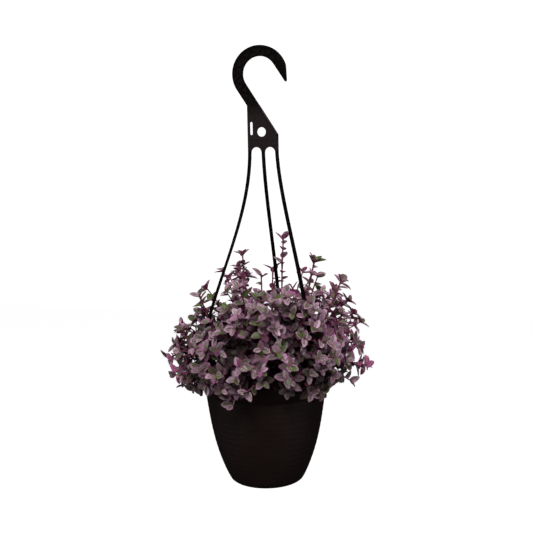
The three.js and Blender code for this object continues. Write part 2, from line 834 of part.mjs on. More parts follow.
part.add(meshOf(pot, "pot", material(0x1c1614, 0.55)));
part.add(meshOf(hanger, "hanger", material(0x181211, 0.5)));
part.add(meshOf(soil, "soil", material(0x2b211b, 0.95)));
plans.forEach((plan) => {
  const name = "leafy_stem_" + String(plan.number + 1).padStart(2, "0");
  part.add(meshOf(atBase(fuse(plan.solids)), name, material(0xa983a8, 0.6)));
});

export default part;
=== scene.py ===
"""A small-leaved tradescantia in a dark plastic hanging pot with its three-legged plastic hanger.

Lengths are millimetres up to the moment a mesh is made, and metres in Blender. Heights of the pot, soil and
plants are counted from the pot's underside, and those of the hanger from the bearing point in the hook.
"""
import math

import bpy
import numpy as np
from mathutils import Matrix, Vector
from mathutils.bvhtree import BVHTree
from mathutils.kdtree import KDTree


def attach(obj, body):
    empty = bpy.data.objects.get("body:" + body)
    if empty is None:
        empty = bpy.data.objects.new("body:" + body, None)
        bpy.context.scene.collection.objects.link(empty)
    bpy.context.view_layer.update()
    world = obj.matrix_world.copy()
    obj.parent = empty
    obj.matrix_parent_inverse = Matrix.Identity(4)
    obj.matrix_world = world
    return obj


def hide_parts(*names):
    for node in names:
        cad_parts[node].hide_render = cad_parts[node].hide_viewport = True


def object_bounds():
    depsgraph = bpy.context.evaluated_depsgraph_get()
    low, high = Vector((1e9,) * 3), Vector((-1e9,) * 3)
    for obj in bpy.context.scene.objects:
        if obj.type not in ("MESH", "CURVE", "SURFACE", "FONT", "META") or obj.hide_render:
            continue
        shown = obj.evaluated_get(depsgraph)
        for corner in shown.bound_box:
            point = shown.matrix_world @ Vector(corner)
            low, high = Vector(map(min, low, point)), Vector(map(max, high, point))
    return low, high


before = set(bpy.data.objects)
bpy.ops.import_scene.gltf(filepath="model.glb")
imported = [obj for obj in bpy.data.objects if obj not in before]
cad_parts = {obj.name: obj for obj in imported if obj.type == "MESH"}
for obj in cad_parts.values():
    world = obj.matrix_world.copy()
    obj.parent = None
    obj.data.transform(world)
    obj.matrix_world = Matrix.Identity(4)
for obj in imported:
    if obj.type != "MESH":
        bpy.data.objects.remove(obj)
cad_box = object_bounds()

MM = 0.001
CROWN_TO_BASE = 451.0
PICTURE_PX = 533

# Camera, as the photograph was taken
FOCAL_PX = 1110.0
SENSOR = 36.0
CAMERA_AZIMUTH = math.radians(16)
CAMERA_DISTANCE = 1162.0
CAMERA_HEIGHT = -65.7
AIM_HEIGHT = -218.7
CAMERA_ROLL = math.radians(1.12)
AXIS_PX = 263.3
FAR_CLIP_M = 20.0

# Studio: each light's place and size in metres and its power in watts
WORLD_GLOW = 0.03
LIGHTS = (
    ("key", (0.2, -1.35, 0.95), 0.55, 32),
    ("fill", (-1.3, -0.8, -0.5), 0.9, 8),
    ("top", (0.1, 0.3, 1.3), 0.9, 5),
    ("side", (1.3, -0.4, -0.5), 0.9, 7),
    ("back", (-0.2, 1.5, 0.3), 1.0, 10),
)
LIGHT_AIM_M = (0.0, 0.0, -0.25)
STUDIO_HALF_M = 6.0
FLOOR_DROP = 900.0
FLOOR_GLOW = 0.95
WALL_GLOW = 1.0

# Angles in degrees over which an edge stays sharp
POT_SHARP = 38.0
SOIL_SHARP = 60.0
CRUMB_SHARP = 50.0
HANGER_SHARP = 30.0
PLANT_SHARP = 55.0

# Pot, heights above its underside
RIM_RADIUS = 75.2
POT_HEIGHT = 117.0
LIP_HEIGHT = 3.0
FLARE_BOTTOM = 98.4
FLARE_FOOT_RADIUS = 64.2
FLARE_RISE = 15.0
FLARE_SHORT = 0.9
FLARE_BOW = 0.5
FLARE_RINGS = 9
WALL = 1.6
LOOSE = 0.35
FLOOR_TOP = 3.5
FLOOR_RADIUS = 36.0
FOOT_INNER_RADIUS = 24.0
FOOT_OUTER_RADIUS = 30.0
FOOT_RECESS = 1.6
BODY_BOTTOM_RADIUS = 39.6
BODY_BOTTOM = 5.6
BODY_TOP_RADIUS = 63.9
BODY_BULGE = 4.6
BODY_BULGE_LOW = 0.8
BODY_RINGS = 132
INSIDE_RINGS = 12
DRAIN_HOLES = 5
DRAIN_CIRCLE = 15.0
DRAIN_RADIUS = 3.0
DRAIN_SIDES = 24
SLOT_DEPTH = 16.5
SLOT_SIDES = 4
CUT_PAST = 1.0
POT_SEGMENTS = 176
STEP_PITCH = 6.2
STEP_DEPTH = 0.16
STEP_CLIMB = 0.8
STEP_FADE = 3.0
STEPS_FROM = 12.5
STEPS_TO = 94.0
# Moulded edges, as distance out and distance up: from the foot ring's inner and outer radius at the
# underside, from the flare's foot, from the rim's radius at the lip's bottom, and from there at its top
FOOT_STEP = ((-1.0, FOOT_RECESS), (-0.3, 0.25), (0.2, 0.0))
FOOT_ROUND = ((-0.4, 0.0), (1.6, 0.22), (3.4, 0.75), (4.9, 1.4), (6.5, 2.35), (7.9, 3.4), (8.9, 4.4))
FLARE_EASE = ((0.1, 0.15), (0.5, 0.45))
LIP_UNDER = ((-0.8, -0.12), (-0.3, 0.0), (0.0, 0.3))
LIP_OVER = ((0.0, -0.4), (-0.35, 0.0), (-WALL, 0.0), (-WALL - 0.3, -0.3), (-WALL - 0.3, 0.4 - LIP_HEIGHT))

# Soil
SOIL_EDGE = 101.0
SOIL_MIDDLE = 104.0
SOIL_EDGE_RADIUS = 61.9
SOIL_SIDE = ((38.0, FLOOR_TOP + 2), (42.0, 9.0), (57.0, 50.0), (64.0, 96.0))
SOIL_RINGS = 44
SOIL_SEGMENTS = 120
SOIL_LUMPS = 0.9
SOIL_WAVES = 26
SOIL_WAVE_PACE = (0.05, 0.5)
WAVES_TOGETHER = 5.0
CRUMBS = 260
CRUMB_MARGIN = 3.0
CRUMB_LIFT = 0.5
CRUMB_SIZE = (0.5, 1.9)
CRUMB_WIDTH = (0.4, 1.0)
CRUMB_THICKNESS = (0.3, 0.7)
CRUMB_UNEVEN = (0.8, 1.2)

# Hanger, heights from the bearing point
HOOK_INNER = 18.0
HOOK_OUTER = 29.3
OUTER_ARC = (211.0, 15.7)
INNER_ARC = (33.5, 214.0)
HOOK_TIP = ((28.9, -25.0), (28.4, -26.7), (27.1, -26.4))
TIP_EASE = (0.9, 0.4)
OUTER_ARC_POINTS = 64
INNER_ARC_POINTS = 56
ARCH_POINTS = 20
ROUND_END_POINTS = 16
PLATE_THICK = 3.2
RECESS_DEPTH = 0.8
EDGE_ROUND = 0.28
EDGE_STEPS = 2
WELD = 0.002
CORE_INSET = 0.4
CORE_ROUND = 0.05
BORDER = 1.5
RIB_HALF = 0.55
RIB_CORNER = 2.6 * RIB_HALF
CORNER_EASE = 0.35
ARCH_RADIUS = 5.7
LEG_THICK = 3.3
LEG_ANGLES = (-120.0, 0.0, 120.0)
PLATE_LEFT = -13.9
PLATE_RIGHT = PLATE_LEFT + 4 * ARCH_RADIUS + 3 * LEG_THICK
PLATE_SHOULDER = -50.4
PLATE_CORNER = -80.6
PLATE_FOOT = -99.0
LEG_CIRCLE = 70.4
LEG_STATIONS = 64
LEG_SPREAD_END = 122.0
LEG_PACES = (1.05, 0.86, 0.86)
LEG_SWING = 0.88
LEG_TWIST = math.radians(-30)
LEG_ROOT = 6.0
LEG_ROOT_SHY = 0.02
LEG_EDGE = 0.4
CLIP_TOP = 104.4
CLIP_FOOT = 98.0
CLIP_HALF_WIDTH = 3.4
# A clip's level rings: height, half width, half thickness, eased edge
CLIP_RINGS = (
    (CLIP_FOOT, 1.2, 0.8 * LEG_THICK / 2, 0.3),
    (CLIP_TOP - 2, CLIP_HALF_WIDTH, LEG_THICK / 2, 0.35),
    (CLIP_TOP - 0.3, CLIP_HALF_WIDTH, LEG_THICK / 2, 0.35),
    (CLIP_TOP, CLIP_HALF_WIDTH - 0.3, LEG_THICK / 2 - 0.25, 0.35),
)
CLIP_FOOT_PAST = 1.0
HOLE_CENTRE = (1.0, -77.6)
HOLE_RADIUS = 4.9
SLOT_X = -9.9
SLOT_BOTTOM = -80.8
SLOT_TOP = -67.1
SLOT_HALF = 1.6
FLANGE_THICK = 5.0
FLANGE_WIDTH = 1.7
FLANGE_LENGTH = 37.0
SHANK_RUN = np.array((33.8, -52.6)) / math.hypot(33.8, 52.6)
SHANK_TOP = np.array((-14.9, -28.1))
# Painted light on the hanger: the heights over which the lower plate is drawn paler, the blend at a recess's
# edge, and how much paler recessed faces are
FIELD_FROM = -44.0
FIELD_TO = -64.0
FIELD_FADE = 4.0
RECESS_BLEND = 0.3
RECESS_PAINTED_LIGHT = 0.22
EJECTOR_RADIUS = 1.9
EJECTOR_PROUD = 0.16
EJECTOR_ROUND = 0.12
EJECTOR_POINTS = 24
EJECTOR_MARKS = ((-26.5, -17.8), (-7.1, 6.0), (14.3, 3.8), (24.1, -13.8), (-8.8, -48.0), (10.0, -78.7))
POCKET = ((-12.5, -54.6), (-12.5, -65.4), (-5.9, -65.4))
POCKET_DEPTH = 0.6
POCKET_ROUND = 0.1
RIDGE_PROUD = 0.4
RIDGE_HALF = 0.45
RIDGE_ROUND = 0.2
RIDGES = (((-12.9, -51.8), (-3.0, -67.6)), ((-12.6, -85.8), (17.6, -85.8)), ((-12.6, -92.4), (17.6, -92.4)))
TRUSS_START = 36.0
TRUSS_STEP = 14.6
HOOK_TURNS = 13
SHANK_STEP = 6.4
SHANK_TURNS = 4

# Plants, grown by the same rule and draws as in the part's source
SEED = 41
DOME_PLANTS = 22
ONE_TWIG_PLANTS = 22
DOME_RADIUS = 100.0
DOME_HEIGHT = 92.0
DOME_BASE = 110.0
DOME_SPREAD = 1.46
DOME_SHOULDER = 0.6
DOME_CROWN = 0.8
DOME_SWAY = 0.08
DOME_START = 0.7
DOME_TURN = 0.2
ROOT_TURN = 0.1
DOME_LEAN = 1.12
DOME_SIZE = (0.86, 1.02)
ROOT_CIRCLE = 52.0
GOLDEN_ANGLE = math.pi * (3 - math.sqrt(5))
DOME_RISE = 0.46
TALL_RISE = 0.36
TALL_LEAN = 0.004
TALL_TURN = 0.05
TALL_ROOT = 6.0
TALL_ROOT_SHARE = 0.42
RIM_LIFT = 1.1
RIM_LIFT_FROM = 1.2
TIP_PULL = 0.36
GROUND_LIFT = 1.5
FOOT_PUSH = 0.05
DOME_BENDS = (0.3, 0.56, 0.8, 1.0)
TALL_BENDS = (0.22, 0.44, 0.63, 0.82, 1.0)
STEM_RADIUS = 1.05
TWIG_RADIUS = 0.95
TWIG_LENGTH = (20.0, 31.0)
TWIG_SWING = (0.65, 1.15)
TWIG_RISE = (-0.35, 0.15)
TWIG_BOW = 1.6
TWIG_BEND = 3
TWIG_SHORTER = 3
TAPER = 0.1
STEM_SIDES = 4
STEM_FOOT = 93.35
LEAF_LENGTH = 12.8
LEAF_WIDTH = 8.0
LEAF_THICK = 0.7
LONE_DROOP = 0.12
LEAF_STEP = 1.6
LEAF_INSET = 0.9
LEAF_SIZE = (0.83, 1.12)
LEAF_LEAN = (0.95, 1.3)
TALL_LEAF_LEAN = (0.62, 1.02)
LEAF_DROOP = (0.04, 0.22)
LEAF_FOLD = 0.2
LEAF_TURN = 0.3
LONE_TURN = 0.4
TRY_TURN = 0.42
TRY_LEAN = 0.05
TIP_LEAVES = 3
LONE_LEAVES_FROM = {"tall": 3, "dome": 4}
LEAF_TRIES = 5
TRIES = 20
TRY_ITEMS = 100
TWIG_ITEMS = 1000
SAME_PLACE = 0.02
MOSTLY_FOUND = 0.5
NEARLY_UPRIGHT = 0.05
# Tall shoots: azimuth in degrees from +X, reach from the axis, height above the pot's underside.
TALL_SHOOTS = (
    (40, 24, 262),
    (150, 32, 243),
    (203, 68, 204),
    (12, 54, 238),
    (352, 87, 221),
    (280, 22, 226),
    (95, 55, 222),
)
DRAWS = {
    "azimuth": 1,
    "polar": 2,
    "size": 3,
    "root_azimuth": 4,
    "cluster_turn": 6,
    "alternate_turn": 7,
    "swing": 8,
    "twig_rise": 9,
    "twig_length": 10,
    "leaf_turn": 20,
    "leaf_lean": 30,
    "leaf_size": 40,
    "leaf_droop": 50,
    "lone_turn": 60,
    "lone_lean": 70,
    "lone_size": 80,
}

# Growth that only the scene has
FILL_SEED = 7
PLANT_SEEDS = 100
GROUP_SEEDS = 2000
# About a full turn, for where a wave starts and which way it runs
ROUGH_CIRCLE = 6.3
FAR_OFF = 99

# Blades
LEAF_ALONG = 8
LEAF_ACROSS = 6
BLADE_ENDS = (0.012, 0.996)
BLADE_WIDEST = 0.88
BLADE_BLUNT = 0.56
BLADE_THICK = 0.42
THINNER_EDGE = 0.6
THINNER_TIP = 0.4
CUP_FROM = 0.05
CUP_ALONG = 0.6
CUP_FLAT = 0.7
CUP_ACROSS = 1.4
DROOP_ALONG = 1.8
WAVE_SLANT = 1.5
BLADE_WAVES = ((0.0, 0.35), (4.0, 9.0), (0.0, ROUGH_CIRCLE))

# Tone of a leaf: how fast painted shade darkens leaves towards the plant's inside, the darkest that age and
# painted shade make a leaf anywhere, the dullest that age makes a leaf on the outside and how rare it is
# there, and the draw of a leaf's share of green
PAINTED_SHADE_INSIDE = 3.7
DARKEST_AGE_AND_SHADE = 0.94
DULLEST = 0.5
MOSTLY_FRESH = 1.5
GREEN_DRAW = (1.3, 1.7)

# Room that leaves and stems take or leave free
LEAF_SPACING = 6.2
ROSETTE_SPACING = 0.45 * LEAF_SPACING
LEAF_GAP = 1.0
STEM_GAP = 1.6
GAP_REACH = 6.0
LOWEST_LEAF = 99.0
LOWEST_AT_SIDES = 12.0
SIDE_NARROW = 4
# Azimuth of the plant's side at the picture's right, from +X
SIDEWAYS = CAMERA_AZIMUTH
# Lines of sight that growth stays out of: the bare lengths of the legs, and a notch in the crown
LEG_SIGHT = 3.4
LEG_SIGHT_FROM = 0.3
LEG_SIGHT_POINTS = 60
BARE_LEG_FEET = (184.0, 206.0, 212.0)
NOTCH_SIGHT = 5.5
NOTCH_SIGHT_POINTS = 12
NOTCH_DEPTH = 130.0
NOTCH_FOOT = np.array((3.0, 1.0, 213.0))
NOTCH_TOP = np.array((7.0, 2.0, 262.0))
FRONT_RISE = 0.13
TO_FRONT = np.array((math.sin(CAMERA_AZIMUTH), -math.cos(CAMERA_AZIMUTH), FRONT_RISE))
TO_FRONT /= np.linalg.norm(TO_FRONT)

# Shoots that fill the dome
FILL_SHOOTS = 60
FILL_SIZE = (0.56, 0.99)
FILL_OUTWARD = 0.55
FILL_MIDDLE = 0.82
FILL_REACH = 103.0
FILL_LIFT = 5.0
FILL_START = 0.5
FILL_TURN = 1.1
FILL_SWAY = 0.3
FILL_POLAR_SWAY = 0.12
FILL_POLAR = (0.02, 1.55)
FILL_ROOT_CIRCLE = 55.0
FILL_ROOT_SHARE = (0.7, 1.0)
FILL_LEAN = 1.1
FILL_RIM_LIFT = 0.15

# Taller shoots out of the crown and shoulders
UPPER_SHOOTS = 30
UPPER_REACH = (30.0, 86.0)
UPPER_REACH_SHARE = (0.85, 1.0)
UPPER_ASIDE = 8.0
UPPER_TOP = 234.0
UPPER_FALL = 22.0
UPPER_SPREAD = 30.0
UPPER_TURN = 0.4
UPPER_ROOT = 10.0
UPPER_LEAN = 0.25
UPPER_LEAN_OUT = 0.006
UPPER_LEAN_SWAY = 0.2

# Shoots that end at a set place of the outline: azimuth in degrees, reach, height, lean at the tip
SPRIG_TIPS = [
    (324, 76, 193, 1.0), (320, 84, 175, 1.0), (4, 93, 153, 1.1), (16, 98, 166, 1.1), (14, 85, 193, 0.9),
    (18, 94, 176, 1.0), (356, 85, 130, 1.3), (199, 84, 168, 1.1), (195, 84, 158, 1.1), (186, 85, 164, 1.1),
    (206, 92, 150, 1.2), (340, 90, 160, 1.1), (30, 86, 186, 1.0), (230, 85, 111, 2.2), (224, 84, 118, 1.8),
    (306, 86, 104, 2.2), (316, 84, 110, 2.1), (328, 80, 113, 2.2), (268, 86, 106, 2.2), (215, 80, 113, 2.1),
]
SPRIG_SWAY = 3.0
SPRIG_SPREAD = 5.0
SPRIG_ROOT_SHARE = 0.58

# Shoots that hang over the rim, lower in a row of lobes and higher at the plant's two sides
DRAPE_SHOOTS = 27
DRAPE_FROM = math.radians(207)
DRAPE_SWAY = 0.06
DRAPE_TIP_SWAY = 0.16
DRAPE_ROOT = (44.0, 54.0)
DRAPE_REACH = (79.0, 92.0)
DRAPE_HEIGHT = (113.0, 125.0)
DRAPE_LOBE = 8.0
DRAPE_LOBES = 9
DRAPE_LOBE_AT = math.radians(262)
DRAPE_SIDE_LIFT = 9.0
DRAPE_LEAN = (1.5, 2.3)
DRAPE_RISE = 0.62
DRAPE_BENDS = (0.2, 0.42, 0.62, 0.8, 1.0)

# Young stems and twigs
PLANT_STEPS = 5
SHOOT_STEPS = 4
YOUNG_STEM_RADIUS = 0.85
YOUNG_TWIG_RADIUS = 0.75
YOUNG_TWIG = (14.0, 30.0)
YOUNG_TWIG_SWING = (0.5, 1.1)
YOUNG_TWIG_BOW = 2.0
YOUNG_TWIG_PLACES = (0.55, 0.75)
YOUNG_GROUPS = 8
TUBE_SIDES = 7
TUBE_TAPER = 0.25
JOINT_SWELL = 0.35
JOINT_REACH = 2.2
SHOOT_TRIES = 12
TWIG_TRIES = 8

# Leaves off the side of a stem
BARE_SHARE = 0.5
LEAF_PITCH = (6.0, 9.5)
LEAF_FITS = 4
FIT_TURN = 0.8
ALTERNATE_SWAY = 0.3
SIDE_LEAF = (0.68, 1.04)
SIDE_LEAN = (0.7, 1.3)
SIDE_DROOP = (0.04, 0.26)
SIDE_ROLL = 0.4
SIDE_SWAY = 0.5

# Rosettes round the growing tips. Where a tip has its packed leaves, those stand for the first ones.
ROSETTE_TURN = 1.75
ROSETTE_LEAVES = 4
ROSETTE_GROWN = 2
ROSETTE_LEAF = 1.03
ROSETTE_SMALLER = 0.38
ROSETTE_SIZES = (0.86, 1.06)
ROSETTE_LEAN = 1.25
ROSETTE_STEEPER = 0.55
ROSETTE_LEAN_SWAY = (-0.15, 0.1)
ROSETTE_DROOP = (0.02, 0.2)
ROSETTE_ROLL = 0.25
ROSETTE_RUN = 2.6

# How far leaves are rolled to face the light, and which way the light is
ROSETTE_TO_LIGHT = 0.65
TALL_TO_LIGHT = 0.62
TO_LIGHT = 0.7
TO_LIGHT_SHARE = (0.6, 1.0)
LIGHT_RISE = 0.45
LIGHT_FRONT = 0.5
LIGHT_OUTWARD = (1.0, 1.0, 0.5)

# Sizes of what the materials draw, each in millimetres on the real thing
SCUFF_MM = 38.0
CLOD_MM = 5.0
FIBRE_MM = 1.6
BLOTCH_MM = 3.2
SKIN_CELL_MM = 0.45
STEM_PATCH_MM = 9.0
STEM_STREAK_MM = 0.8
# Spans of a noise over which scuffs, pale fibres and brown come up, and what streaks and cloud then change
NOISE_MIDDLE = (0.3, 0.7)
SCUFFED = (0.5, 0.78)
DULLER = (-0.05, 0.09)
PALE_FIBRE = (0.35, 0.72)
BROWNER_STEM = (0.42, 0.7)
STREAKED = 0.4

# Leaf material, on a blade that runs from -1 to 1 across and from 0 to 1 along: its green bands and where
# they end, then the lilac face, the flush, the underside and the veins. Where a pair changes a draw or a
# noise (wander, aside, phase, strength, mottled), its first number multiplies and its second is added.
OWN_DRAW = 13.0
BAND_WANDER = (0.5, -0.25)
BAND_ASIDE = (0.8, -0.4)
BAND_PACE = 9.6
BAND_PHASE = (1.1, -1.3)
BAND_STRENGTH = (0.42, 0.64)
BAND_MARGIN = (0.98, 0.5)
BAND_MIDRIB = (0.0, 0.15, 0.3, 1.0)
BAND_TIP = (1.02, 0.62)
GREEN_FROM = (0.82, 1.04)
MOTTLED = (0.9, -0.4)
PALER = 0.7
ROSY_FROM = (0.7, 0.96)
FLUSH_AT_BASE = (0.17, 0.02)
FLUSH_SHARE = 0.7
GREEN_BELOW = 0.4
UPPER_SIDE = (0.35, 0.65)
VEIN_PACE = 44.0
VEIN_RELIEF = 0.35
LEAF_ROUGHNESS = (0.42, 0.58)


# Helpers for materials


# What a node does, for nodes whose kind alone does not say it
TIMES = {"operation": "MULTIPLY"}
PLUS = {"operation": "ADD"}
TIMES_THEN_PLUS = {"operation": "MULTIPLY_ADD"}
SINE = {"operation": "SINE"}
UNSIGNED = {"operation": "ABSOLUTE"}
COLOUR = {"data_type": "RGBA"}
SOFT_STEP = {"interpolation_type": "SMOOTHSTEP"}


def linear(hex_colour):
    """An sRGB hex colour as the linear values that a shader takes."""
    values = []
    for start in (0, 2, 4):
        share = int(hex_colour[start:start + 2], 16) / 255
        values.append(share / 12.92 if share <= 0.04045 else ((share + 0.055) / 1.055) ** 2.4)
    return (*values, 1.0)


def add(tree, kind, settings, *in_order, **by_name):
    """Adds a node with its settings, and sets its inputs or links them to a node's or socket's output."""
    node = tree.nodes.new("ShaderNode" + kind)
    for name, value in settings.items():
        setattr(node, name, value)
    usable = [socket for socket in node.inputs if socket.enabled]
    named = {socket.name.replace(" ", "_"): socket for socket in reversed(usable)}
    wanted = [*zip(usable, in_order), *[(named[name], value) for name, value in by_name.items()]]
    for socket, value in wanted:
        if isinstance(value, bpy.types.Node):
            value = next(output for output in value.outputs if output.enabled)
        if isinstance(value, bpy.types.NodeSocket):
            tree.links.new(value, socket)
        else:
            socket.default_value = value
    return node


def new_material(name):
    """A material with an empty node tree, and the object's own coordinates."""
    material = bpy.data.materials.new(name)
    material.use_nodes = True
    tree = material.node_tree
    tree.nodes.clear()
    return material, tree, add(tree, "TexCoord", {}).outputs["Object"]


def moulded_plastic(name, deep, worn, gloss, shine, grain_mm, grain_depth, painted_light_field=None):
    """Moulded polypropylene: near black, satin, with fine spark-eroded grain and paler scuffs.

    With a painted light colour, the recessed faces and the lower plate get painted light: they are drawn
    greyer than the ribs and border.
    """
    material, tree, place_on = new_material(name)
    grain = add(tree, "TexNoise", {}, Vector=place_on, Scale=1 / (grain_mm * MM), Detail=2.0)
    cloud = add(tree, "TexNoise", {}, Vector=place_on, Scale=1 / (SCUFF_MM * MM), Detail=5.0, Roughness=0.6)
    scuffs = add(tree, "MapRange", SOFT_STEP, cloud, *SCUFFED)
    speck = add(tree, "Math", TIMES, scuffs, grain)
    colour = add(tree, "Mix", COLOUR, speck, linear(deep), linear(worn))
    if painted_light_field:
        # Painted light: the recessed faces everywhere, and the whole lower plate, are drawn paler than the
        # ribs and border.
        away, height = add(tree, "SeparateXYZ", {}, place_on).outputs[1:]
        face = PLATE_THICK / 2 * MM
        off_middle = add(tree, "Math", UNSIGNED, away)
        recessed = add(tree, "MapRange", SOFT_STEP, off_middle, face, face - RECESS_BLEND * MM)
        low = add(tree, "MapRange", SOFT_STEP, height, FIELD_FROM * MM, FIELD_TO * MM)
        high = add(tree, "MapRange", SOFT_STEP, height, PLATE_FOOT * MM, (PLATE_FOOT + FIELD_FADE) * MM)
        at_plate = add(tree, "Math", TIMES, low, high)
        shown = add(tree, "Math", TIMES_THEN_PLUS, recessed, RECESS_PAINTED_LIGHT, at_plate)
        colour = add(tree, "Mix", COLOUR, shown, colour, linear(painted_light_field))
    rough = add(tree, "MapRange", {}, cloud, *NOISE_MIDDLE, gloss + DULLER[0], gloss + DULLER[1])
    bump = add(tree, "Bump", {}, Height=grain, Distance=grain_depth * MM, Strength=0.5)
    shader = add(tree, "BsdfPrincipled", {}, Base_Color=colour, Roughness=rough, Normal=bump, IOR=1.49,
                 Specular_IOR_Level=shine)
    add(tree, "OutputMaterial", {}, shader)
    return material


def peat_mix():
    """Peat-based potting mix: dark brown, matt and damp, with paler fibres."""
    material, tree, place_on = new_material("peat_potting_mix")
    clods = add(tree, "TexNoise", {}, Vector=place_on, Scale=1 / (CLOD_MM * MM), Detail=8.0, Roughness=0.7)
    fibre = add(tree, "TexVoronoi", {}, Vector=place_on, Scale=1 / (FIBRE_MM * MM))
    pale = add(tree, "MapRange", SOFT_STEP, clods, *PALE_FIBRE)
    colour = add(tree, "Mix", COLOUR, pale, linear("120D0A"), linear("3B2A1F"))
    height = add(tree, "Math", PLUS, clods, fibre)
    bump = add(tree, "Bump", {}, Height=height, Distance=0.7 * MM, Strength=0.9)
    shader = add(tree, "BsdfPrincipled", {}, Base_Color=colour, Roughness=0.93, Normal=bump)
    add(tree, "OutputMaterial", {}, shader)
    return material


def living_leaf():
    """Living leaf: satin, dusty lilac over the face with soft green stripes along it, purple underneath."""
    material, tree, place_on = new_material("living_tradescantia_leaf")
    blade = add(tree, "Attribute", {"attribute_name": "blade"}).outputs["Vector"]
    across, along, upper = add(tree, "SeparateXYZ", {}, blade).outputs
    tone = add(tree, "Attribute", {"attribute_name": "tone"}).outputs["Vector"]
    green_share, age_and_shade, character = add(tree, "SeparateXYZ", {}, tone).outputs
    blotch = add(tree, "TexNoise", {}, Vector=place_on, Scale=1 / (BLOTCH_MM * MM), Detail=3.0)
    # A soft green band either side of the lilac midrib, which wanders and fades to the margin and tip.
    # A leaf's own draw sets it off to one side, so that some leaves are green on one half alone.
    own = add(tree, "Math", {"operation": "FRACT"}, add(tree, "Math", TIMES, character, OWN_DRAW))
    wander = add(tree, "Math", TIMES_THEN_PLUS, blotch, *BAND_WANDER)
    aside = add(tree, "Math", TIMES_THEN_PLUS, own, *BAND_ASIDE)
    off_middle = add(tree, "Math", PLUS, across, add(tree, "Math", PLUS, wander, aside))
    edge = add(tree, "Math", UNSIGNED, off_middle)
    start = add(tree, "Math", TIMES_THEN_PLUS, character, *BAND_PHASE)
    phase = add(tree, "Math", TIMES_THEN_PLUS, edge, BAND_PACE, start)
    stripe = add(tree, "Math", TIMES_THEN_PLUS, add(tree, "Math", SINE, phase), *BAND_STRENGTH)
    inside = add(tree, "MapRange", SOFT_STEP, edge, *BAND_MARGIN)
    off_midrib = add(tree, "MapRange", SOFT_STEP, edge, *BAND_MIDRIB)
    tipward = add(tree, "MapRange", SOFT_STEP, along, *BAND_TIP)
    within = add(tree, "Math", TIMES, add(tree, "Math", TIMES, inside, off_midrib), tipward)
    ripe = add(tree, "Math", TIMES_THEN_PLUS, stripe, within, green_share)
    green = add(tree, "MapRange", SOFT_STEP, ripe, *GREEN_FROM)
    mottle = add(tree, "Math", TIMES_THEN_PLUS, blotch, *MOTTLED)
    pale = add(tree, "Math", TIMES_THEN_PLUS, character, PALER, mottle)
    lilac = add(tree, "Mix", COLOUR, pale, linear("6A3A5C"), linear("EAC2D6"))
    rosy = add(tree, "MapRange", SOFT_STEP, character, *ROSY_FROM)
    flushed = add(tree, "Mix", COLOUR, rosy, lilac, linear("8A3E74"))
    leaf_green = add(tree, "Mix", COLOUR, blotch, linear("2E3A18"), linear("6C7A42"))
    face = add(tree, "Mix", COLOUR, green, flushed, leaf_green)
    at_base = add(tree, "MapRange", SOFT_STEP, along, *FLUSH_AT_BASE)
    flush = add(tree, "Math", TIMES, at_base, FLUSH_SHARE)
    face = add(tree, "Mix", COLOUR, flush, face, linear("8E3272"))
    under = add(tree, "Mix", COLOUR, blotch, linear("A04478"), linear("D888B0"))
    green_below = add(tree, "Math", TIMES, green, GREEN_BELOW)
    under = add(tree, "Mix", COLOUR, green_below, under, linear("5C4A50"))
    on_top = add(tree, "MapRange", SOFT_STEP, upper, *UPPER_SIDE)
    fresh = add(tree, "Mix", COLOUR, on_top, under, face)
    # Age at random and painted shade deep in the plant both darken a leaf towards dark brown.
    colour = add(tree, "Mix", COLOUR, age_and_shade, fresh, linear("1C0F07"))
    # Parallel veins and the bead of the skin's cells, both drawn coarse enough to show.
    veins = add(tree, "Math", SINE, add(tree, "Math", TIMES, across, VEIN_PACE))
    cells = add(tree, "TexVoronoi", {}, Vector=place_on, Scale=1 / (SKIN_CELL_MM * MM))
    relief = add(tree, "Math", TIMES_THEN_PLUS, veins, VEIN_RELIEF, cells)
    bump = add(tree, "Bump", {}, Height=relief, Distance=0.06 * MM, Strength=0.6)
    rough = add(tree, "MapRange", {}, blotch, *NOISE_MIDDLE, *LEAF_ROUGHNESS)
    shader = add(tree, "BsdfPrincipled", {}, Base_Color=colour, Roughness=rough, Normal=bump, IOR=1.42,
                 Subsurface_Weight=0.14, Subsurface_Radius=(1.0, 0.5, 0.7), Subsurface_Scale=1.2 * MM)
    add(tree, "OutputMaterial", {}, shader)
    return material


def fleshy_stem():
    """Fleshy living stem: dark purple, smooth and slightly glossy, browner in places."""
    material, tree, place_on = new_material("fleshy_tradescantia_stem")
    patch = add(tree, "TexNoise", {}, Vector=place_on, Scale=1 / (STEM_PATCH_MM * MM), Detail=3.0)
    fine = add(tree, "TexNoise", {}, Vector=place_on, Scale=1 / (STEM_STREAK_MM * MM), Detail=2.0)
    browner = add(tree, "MapRange", SOFT_STEP, patch, *BROWNER_STEM)
    base = add(tree, "Mix", COLOUR, browner, linear("4E1C30"), linear("4A2C1F"))
    streaked = add(tree, "Math", TIMES, fine, STREAKED)
    colour = add(tree, "Mix", COLOUR, streaked, base, linear("96406F"))
    bump = add(tree, "Bump", {}, Height=fine, Distance=0.08 * MM, Strength=0.4)
    shader = add(tree, "BsdfPrincipled", {}, Base_Color=colour, Roughness=0.42, Normal=bump,
                 Subsurface_Weight=0.1, Subsurface_Radius=(1.0, 0.4, 0.6), Subsurface_Scale=0.8 * MM)
    add(tree, "OutputMaterial", {}, shader)
    return material


# Helpers for meshes


def make_object(name, points_mm, faces, material, lift=0.0):
    """A mesh object from points in millimetres, raised by a height."""
    mesh = bpy.data.meshes.new(name)
    points = (np.asarray(points_mm, float) + (0, 0, lift)) * MM
    mesh.from_pydata(points.tolist(), [], faces)
    mesh.materials.append(material)
    made = bpy.data.objects.new(name, mesh)
    bpy.context.scene.collection.objects.link(made)
    return made


